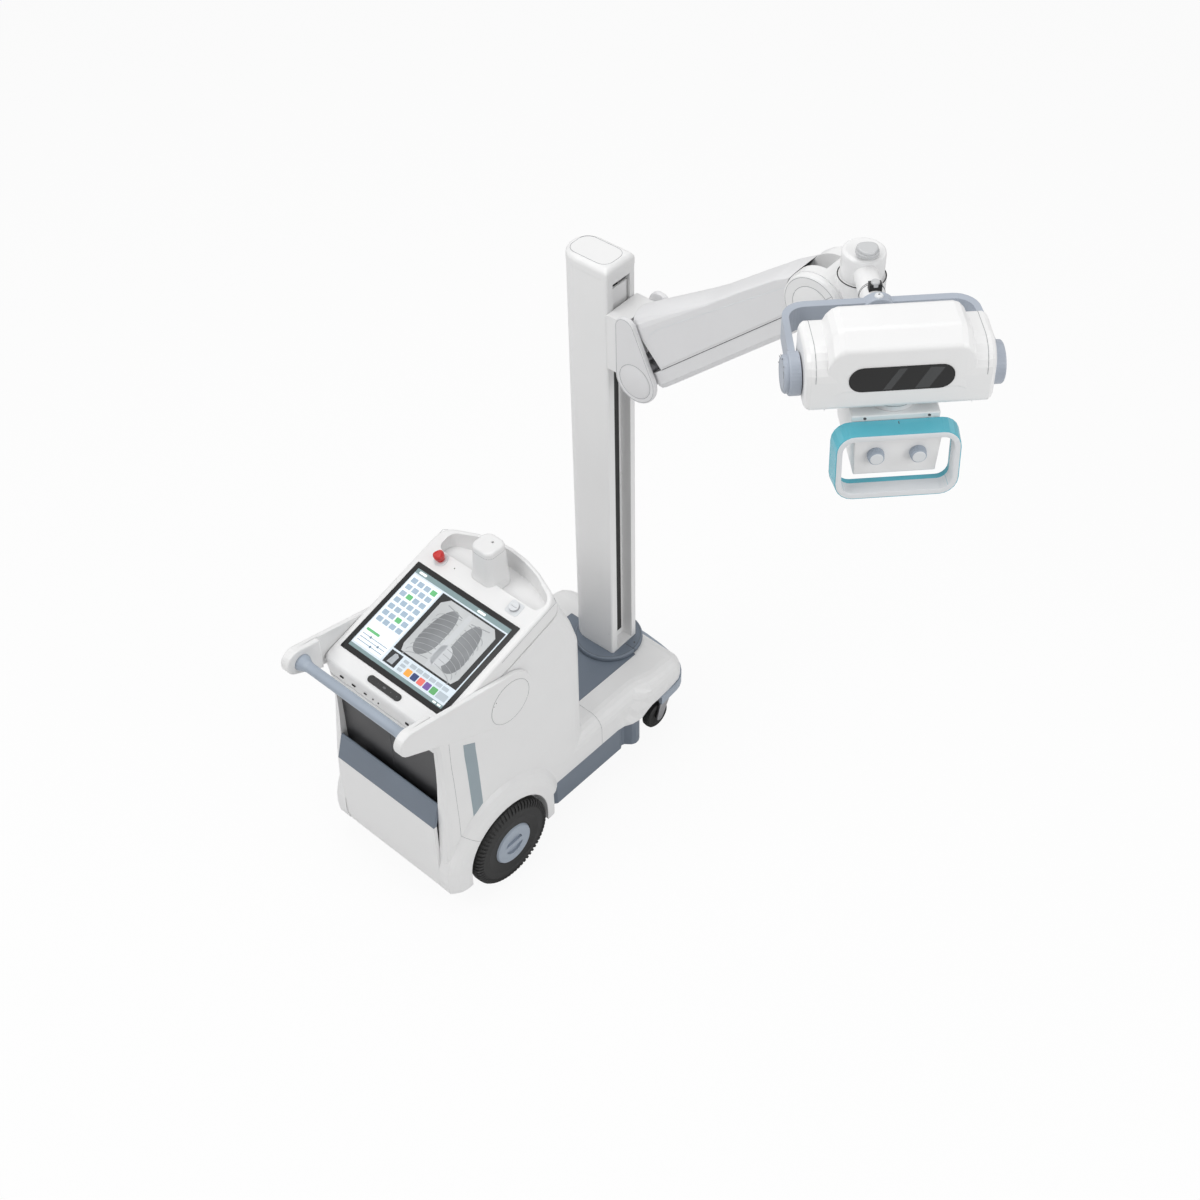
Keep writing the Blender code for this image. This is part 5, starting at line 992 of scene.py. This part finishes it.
def housing_lines():
    path = [(u, v) for u, v in rounded(HOUSING) if v > HOUSING_SEAM_LOW]
    seams = Shape()
    for across in HOUSING_SEAM_T:
        seams.line(laid(path, across, "y"), THIN_LINE)
    seams.piece("housing_seams", SEAM, "tube_head", HEAD)
    glare = Shape()
    for outline in GLARE:
        glare.plate(outline, 0.0755, 0.0765, "x", 0.0001)
    paint = finish("display glare", srgb(0.235, 0.24, 0.245), rough=0.12, vary=0.10)
    glare.piece("display_glare", paint, "tube_head", HEAD)
    neck = Shape()
    for z in NECK_LEVELS:
        neck.loop(arc((0, 0), NECK_RADIUS, 0, 355, 64), z, "z", MARK_LINE)
    neck.piece("neck_rings", SEAM, "tube_head", HEAD)


def pivot_marks():
    for face, label in PIVOT_FACES:
        marks = Shape()
        marks.line(laid(PIVOT_CORNER, face, "y"), MARK_LINE)
        for angle in PIVOT_TICKS:
            u, v = math.cos(math.radians(angle)), math.sin(math.radians(angle))
            marks.line([(reach * u, face, reach * v) for reach in PIVOT_TICK_REACH], THIN_LINE)
        marks.piece("pivot_marks_" + label, DARK_MARK_AND_SEAM_SHADOW, "head_yoke", HEAD)
        ring = Shape()
        ring.loop(arc((0, 0), PIVOT_RING, 0, 354, 56), face, "y", HAIRLINE)
        ring.piece("pivot_ring_" + label, SEAM, "head_yoke", HEAD)


# Collimator and its grip ring

BOX_TOP_Z = -0.078
BOX_FRONT_TOP = 0.1063
BOX_TAPER = 0.007
BOX_HEIGHT = 0.1352
TOP_SCREW = ((0, -0.0790), (0.0036, -0.0790), (0.0036, -0.0774), (0.0024, -0.0768), (0, -0.0768))
TOP_SCREWS = ((0.075, -0.072), (0.075, 0.072))
TOP_TICK_LOW, TOP_TICK_HIGH = (0.0905, -0.0008), (0.0985, 0.0008)
BUTTONS_T = (-0.025, 0.025)
BUTTON_Z = -0.108
BUTTON_RIM = ((0, -0.002), (0.0098, -0.002), (0.0098, 0.0012), (0.0086, 0.0020), (0, 0.0022))
BUTTON_CAP = ((0, 0.0), (0.0072, 0.0), (0.0072, 0.0026), (0.0060, 0.0032), (0, 0.0033))
TRIANGLE_TURNS = (0, 120, 240)
TRIANGLE_OUT, TRIANGLE_SIZE = 0.0032, 0.0017
BLUE_Z = -0.193
BLUE_BUTTON = ((0, -0.002), (0.0098, -0.002), (0.0098, 0.0014), (0.0082, 0.0026), (0, 0.0030))
KNOBS_T = (-0.0476, 0.0476)
KNOB_Z = -0.1554
KNOB_SKIRT = (
    (0.1050, 0.0184, 0.0),
    (0.1065, 0.0190, 0.0004),
    (0.1150, 0.0187, 0.0004),
    (0.1160, 0.0180, 0.0),
)
SKIRT_RIDGES = 30
KNOB_FACE = ((0, 0.123), (0.0150, 0.123), (0.0150, 0.1246), (0.0135, 0.1256), (0, 0.1258))
SCALE_RADIUS, SCALE_OUTER = 0.0245, 0.0285
SCALE_START, SCALE_STOP, SCALE_STEP = 35, 145, 22
SYMBOL_T = (-0.006, 0.006)
SYMBOL_LEVELS = (-0.101, -0.115)
RING_HALF, RING_TOP, RING_LOW = 0.1402, -0.0911, -0.2521
RING_CORNER, RING_FRONT, RING_LEAN = 0.042, 0.1185, 0.16
RING_SECTION = (
    (0.0020, -0.0020),
    (0.0020, 0.0008),
    (0.0030, 0.0014),
    (0.0115, 0.0014),
    (0.0143, 0.0004),
    (0.0143, -0.0350),
    (0.0130, -0.0350),
    (0.0125, -0.0020),
)


def box_face(z):
    """The collimator front's forward reach at a height."""
    return BOX_FRONT_TOP - BOX_TAPER * (BOX_TOP_Z - z) / BOX_HEIGHT


def knob_front(shape, profile, across, z, steps):
    """A turned button on the collimator's front, its profile measured from the face."""
    face = box_face(z)
    return shape.turned([(radius, face + out) for radius, out in profile], (0, across, z), "x", steps)


def box_top_screws():
    top = Shape()
    for x, across in TOP_SCREWS:
        top.turned(TOP_SCREW, (x, across, 0.0), "z", 18)
    top.plate(rounded_rectangle(TOP_TICK_LOW, TOP_TICK_HIGH, 0.0006, 2), -0.079, -0.0775, "z", 0.0001)
    top.piece("box_top_screws", DARK_MARK_AND_SEAM_SHADOW, "collimator", HEAD)


def collimator_buttons():
    rims, caps, symbols = Shape(), Shape(), Shape()
    face = box_face(BUTTON_Z)
    for across in BUTTONS_T:
        knob_front(rims, BUTTON_RIM, across, BUTTON_Z, 30)
        knob_front(caps, BUTTON_CAP, across, BUTTON_Z, 28)
        for turn in TRIANGLE_TURNS:
            points = []
            for step in TRIANGLE_TURNS:
                out, small = math.radians(turn + 90), math.radians(step + 90)
                u = across + TRIANGLE_OUT * math.cos(out) + TRIANGLE_SIZE * math.cos(small)
                v = BUTTON_Z + TRIANGLE_OUT * math.sin(out) + TRIANGLE_SIZE * math.sin(small)
                points.append((u, v))
            symbols.plate(points, face + 0.003, face + 0.0037, "x", 0.0001)
    rims.piece("button_rims", SILVER, "collimator", HEAD)
    caps.piece("button_caps", CAP_WHITE, "collimator", HEAD)
    paint = finish("navy symbol", srgb(0.15, 0.25, 0.45), rough=0.4, vary=0.06)
    symbols.piece("button_symbols", paint, "collimator", HEAD)
    blue = knob_front(Shape(), BLUE_BUTTON, 0, BLUE_Z, 30)
    blue.piece("field_light_button", SKY, "collimator", HEAD)


def collimator_knobs():
    skirts, faces, scale = Shape(), Shape(), Shape()
    for across in KNOBS_T:
        skirts.rings(ridged((across, KNOB_Z), KNOB_SKIRT, SKIRT_RIDGES, 120, "x"))
        faces.turned(KNOB_FACE, (0, across, KNOB_Z), "x", 36)
        sweep = arc((across, KNOB_Z), SCALE_RADIUS, SCALE_START, SCALE_STOP, 16)
        scale.line([(box_face(v) + 0.0001, u, v) for u, v in sweep], HAIRLINE)
        for angle in range(SCALE_START, SCALE_STOP + 1, SCALE_STEP):
            u, v = math.cos(math.radians(angle)), math.sin(math.radians(angle))
            path = [(across + reach * u, KNOB_Z + reach * v) for reach in (SCALE_RADIUS, SCALE_OUTER)]
            scale.line([(box_face(z) + 0.0001, t, z) for t, z in path], HAIRLINE)
    skirts.piece("knob_skirts", TRIM, "collimator", HEAD)
    faces.piece("knob_faces", CAP_WHITE, "collimator", HEAD)
    for t in SYMBOL_T:
        scale.line([(box_face(z) + 0.0001, t, z) for z in SYMBOL_LEVELS], THIN_LINE)
    scale.piece("knob_scale", DARK_MARK_AND_SEAM_SHADOW, "collimator", HEAD)


def grip_ring_face():
    """The white front lip and inner lining of the grip ring."""
    rings = []
    for inset, depth in RING_SECTION:
        low, high = (-RING_HALF + inset, RING_LOW + inset), (RING_HALF - inset, RING_TOP - inset)
        outline = rounded_rectangle(low, high, RING_CORNER - inset, 6)
        rings.append([(RING_FRONT + (RING_TOP - z) * RING_LEAN + depth, t, z) for t, z in outline])
    Shape().rings(rings, True).piece("ring_face", CAP_WHITE, "collimator", HEAD)


# Rear tyres and hubs

LUGS = 64
LUG_SHARE = 0.62
LUG_DEPTH = 0.005
LUG_NARROW = 0.85
LUG_ROWS = ((0.1508, 0.2630, 0.0), (0.1492, 0.2740, 0.010), (0.1440, 0.2803, 0.018), (0.1330, 0.2832, 0.022))
HUB_SCREWS = 6
HUB_SCREW_REACH = 0.0540
HUB_SCREW = ((0, 0.281), (0.0030, 0.281), (0.0030, 0.2852), (0.0022, 0.2858), (0, 0.2858))


def rear_wheel(side, label):
    """Shoulder lugs on a rear tyre, inside its own outer radius, and the hub's screws."""
    tread = Shape()
    width = math.pi / LUGS * LUG_SHARE
    for step in range(LUGS):
        angle = 2 * math.pi * step / LUGS
        rings = []
        for out, y, lean in LUG_ROWS:
            corners = ((out - LUG_DEPTH, -width), (out - LUG_DEPTH, width))
            corners += ((out, width * LUG_NARROW), (out, -width * LUG_NARROW))
            ring = []
            for radius, turn in corners:
                bearing = angle + turn + lean
                ring.append((radius * math.cos(bearing), side * y, WHEEL_Z + radius * math.sin(bearing)))
            rings.append(ring)
        tread.rings(rings)
    tread.piece("tyre_tread_" + label, TYRE, "rear_wheel_" + label)
    screws = Shape()
    for step in range(HUB_SCREWS):
        angle = 2 * math.pi * (step + 0.5) / HUB_SCREWS
        place = (HUB_SCREW_REACH * math.cos(angle), 0, WHEEL_Z + HUB_SCREW_REACH * math.sin(angle))
        screws.turned([(radius, side * out) for radius, out in HUB_SCREW], place, "y", 12)
    screws.piece("hub_screws_" + label, SILVER, "rear_wheel_" + label)


for side, label in SIDES:
    body_seams(side, label)
    side_plate(side, label)
    handle_cover(side, label)
    rear_wheel(side, label)
port_row()
deck_joint()
liner_lines()
stop_button()
key_switch()
small_console_marks()
screen_bars()
screen_chest()
screen_keys()
screen_tiles()
column_lines()
cheek_covers()
carriage_tabs()
arm_sides()
elbow_covers()
post_details()
housing_lines()
pivot_marks()
box_top_screws()
collimator_buttons()
collimator_knobs()
grip_ring_face()


# Camera, floor and light

CAMERA_PLACE = (-2.293315, -2.807226, 4.656579)
CAMERA_RIGHT = (0.660896, -0.750472, -0.002806)
CAMERA_UP = (0.536161, 0.469543, 0.701471)
CAMERA_AHEAD = (0.525117, 0.465104, -0.712693)
LENS = 55.149
SHIFT_X, SHIFT_Y = -0.02859, -0.00148
WORLD_LEVEL = 0.45
FLOOR_SIZE = 60.0
FLOOR_DROP = 0.0005
FLOOR_WHITE = (0.90, 0.90, 0.90, 1.0)
FLOOR_GLOW = 0.92
LAMPS = (
    ("key", (-3.2, 1.2, 4.8), (0.3, -0.2, 0.9), 2.6, 95.0),
    ("fill", (0.8, -4.6, 3.4), (0.3, -0.3, 1.0), 3.2, 70.0),
    ("top", (0.6, 0.4, 5.2), (0.4, -0.2, 0.9), 3.0, 55.0),
)


def camera():
    data = bpy.data.cameras.new("camera")
    data.sensor_width = 36.0
    data.sensor_fit = "HORIZONTAL"
    data.lens = LENS
    data.shift_x = SHIFT_X
    data.shift_y = SHIFT_Y
    data.clip_end = 60.0
    made = bpy.data.objects.new("camera", data)
    bpy.context.scene.collection.objects.link(made)
    turn = Matrix((CAMERA_RIGHT, CAMERA_UP, [-value for value in CAMERA_AHEAD])).transposed()
    made.matrix_world = Matrix.Translation(CAMERA_PLACE) @ turn.to_4x4()
    bpy.context.scene.camera = made


def seen_white(tree, dim):
    """Strength 1 where the camera, a mirror or glass looks at it, and dim where it only lights."""
    path = tree.nodes.new("ShaderNodeLightPath")
    first = tree.nodes.new("ShaderNodeMath")
    first.operation = "MAXIMUM"
    tree.links.new(path.outputs["Is Camera Ray"], first.inputs[0])
    tree.links.new(path.outputs["Is Glossy Ray"], first.inputs[1])
    second = tree.nodes.new("ShaderNodeMath")
    second.operation = "MAXIMUM"
    tree.links.new(first.outputs[0], second.inputs[0])
    tree.links.new(path.outputs["Is Transmission Ray"], second.inputs[1])
    level = tree.nodes.new("ShaderNodeMapRange")
    level.inputs["To Min"].default_value = dim
    level.inputs["To Max"].default_value = 1.0
    tree.links.new(second.outputs[0], level.inputs["Value"])
    return level.outputs["Result"]


def world():
    made = bpy.data.worlds.new("studio")
    made.use_nodes = True
    bpy.context.scene.world = made
    tree = made.node_tree
    back = tree.nodes["Background"]
    back.inputs["Color"].default_value = (1.0, 1.0, 1.0, 1.0)
    tree.links.new(seen_white(tree, WORLD_LEVEL), back.inputs["Strength"])


def floor():
    bpy.ops.mesh.primitive_plane_add(size=FLOOR_SIZE, location=(0, 0, -FLOOR_DROP))
    made = bpy.context.object
    made.name = "floor"
    paint, tree, shader = new_material("floor paint")
    shader.inputs["Base Color"].default_value = FLOOR_WHITE
    shader.inputs["Roughness"].default_value = 0.9
    shader.inputs["Specular IOR Level"].default_value = 0.1
    glow = tree.nodes.new("ShaderNodeEmission")
    glow.inputs["Color"].default_value = (1.0, 1.0, 1.0, 1.0)
    path = tree.nodes.new("ShaderNodeLightPath")
    mix = tree.nodes.new("ShaderNodeMixShader")
    share = tree.nodes.new("ShaderNodeMath")
    share.operation = "MULTIPLY"
    share.inputs[1].default_value = FLOOR_GLOW
    tree.links.new(path.outputs["Is Camera Ray"], share.inputs[0])
    tree.links.new(share.outputs[0], mix.inputs["Fac"])
    tree.links.new(shader.outputs[0], mix.inputs[1])
    tree.links.new(glow.outputs[0], mix.inputs[2])
    tree.links.new(mix.outputs[0], tree.nodes["Material Output"].inputs["Surface"])
    made.data.materials.append(paint)


def area(name, place, target, size, power):
    data = bpy.data.lights.new(name, "AREA")
    data.shape = "SQUARE"
    data.size = size
    data.energy = power
    made = bpy.data.objects.new(name, data)
    bpy.context.scene.collection.objects.link(made)
    made.location = place
    made.rotation_euler = (Vector(target) - Vector(place)).to_track_quat("-Z", "Y").to_euler()


camera()
world()
floor()
for lamp in LAMPS:
    area(*lamp)

bpy.context.scene.view_settings.view_transform = "Standard"
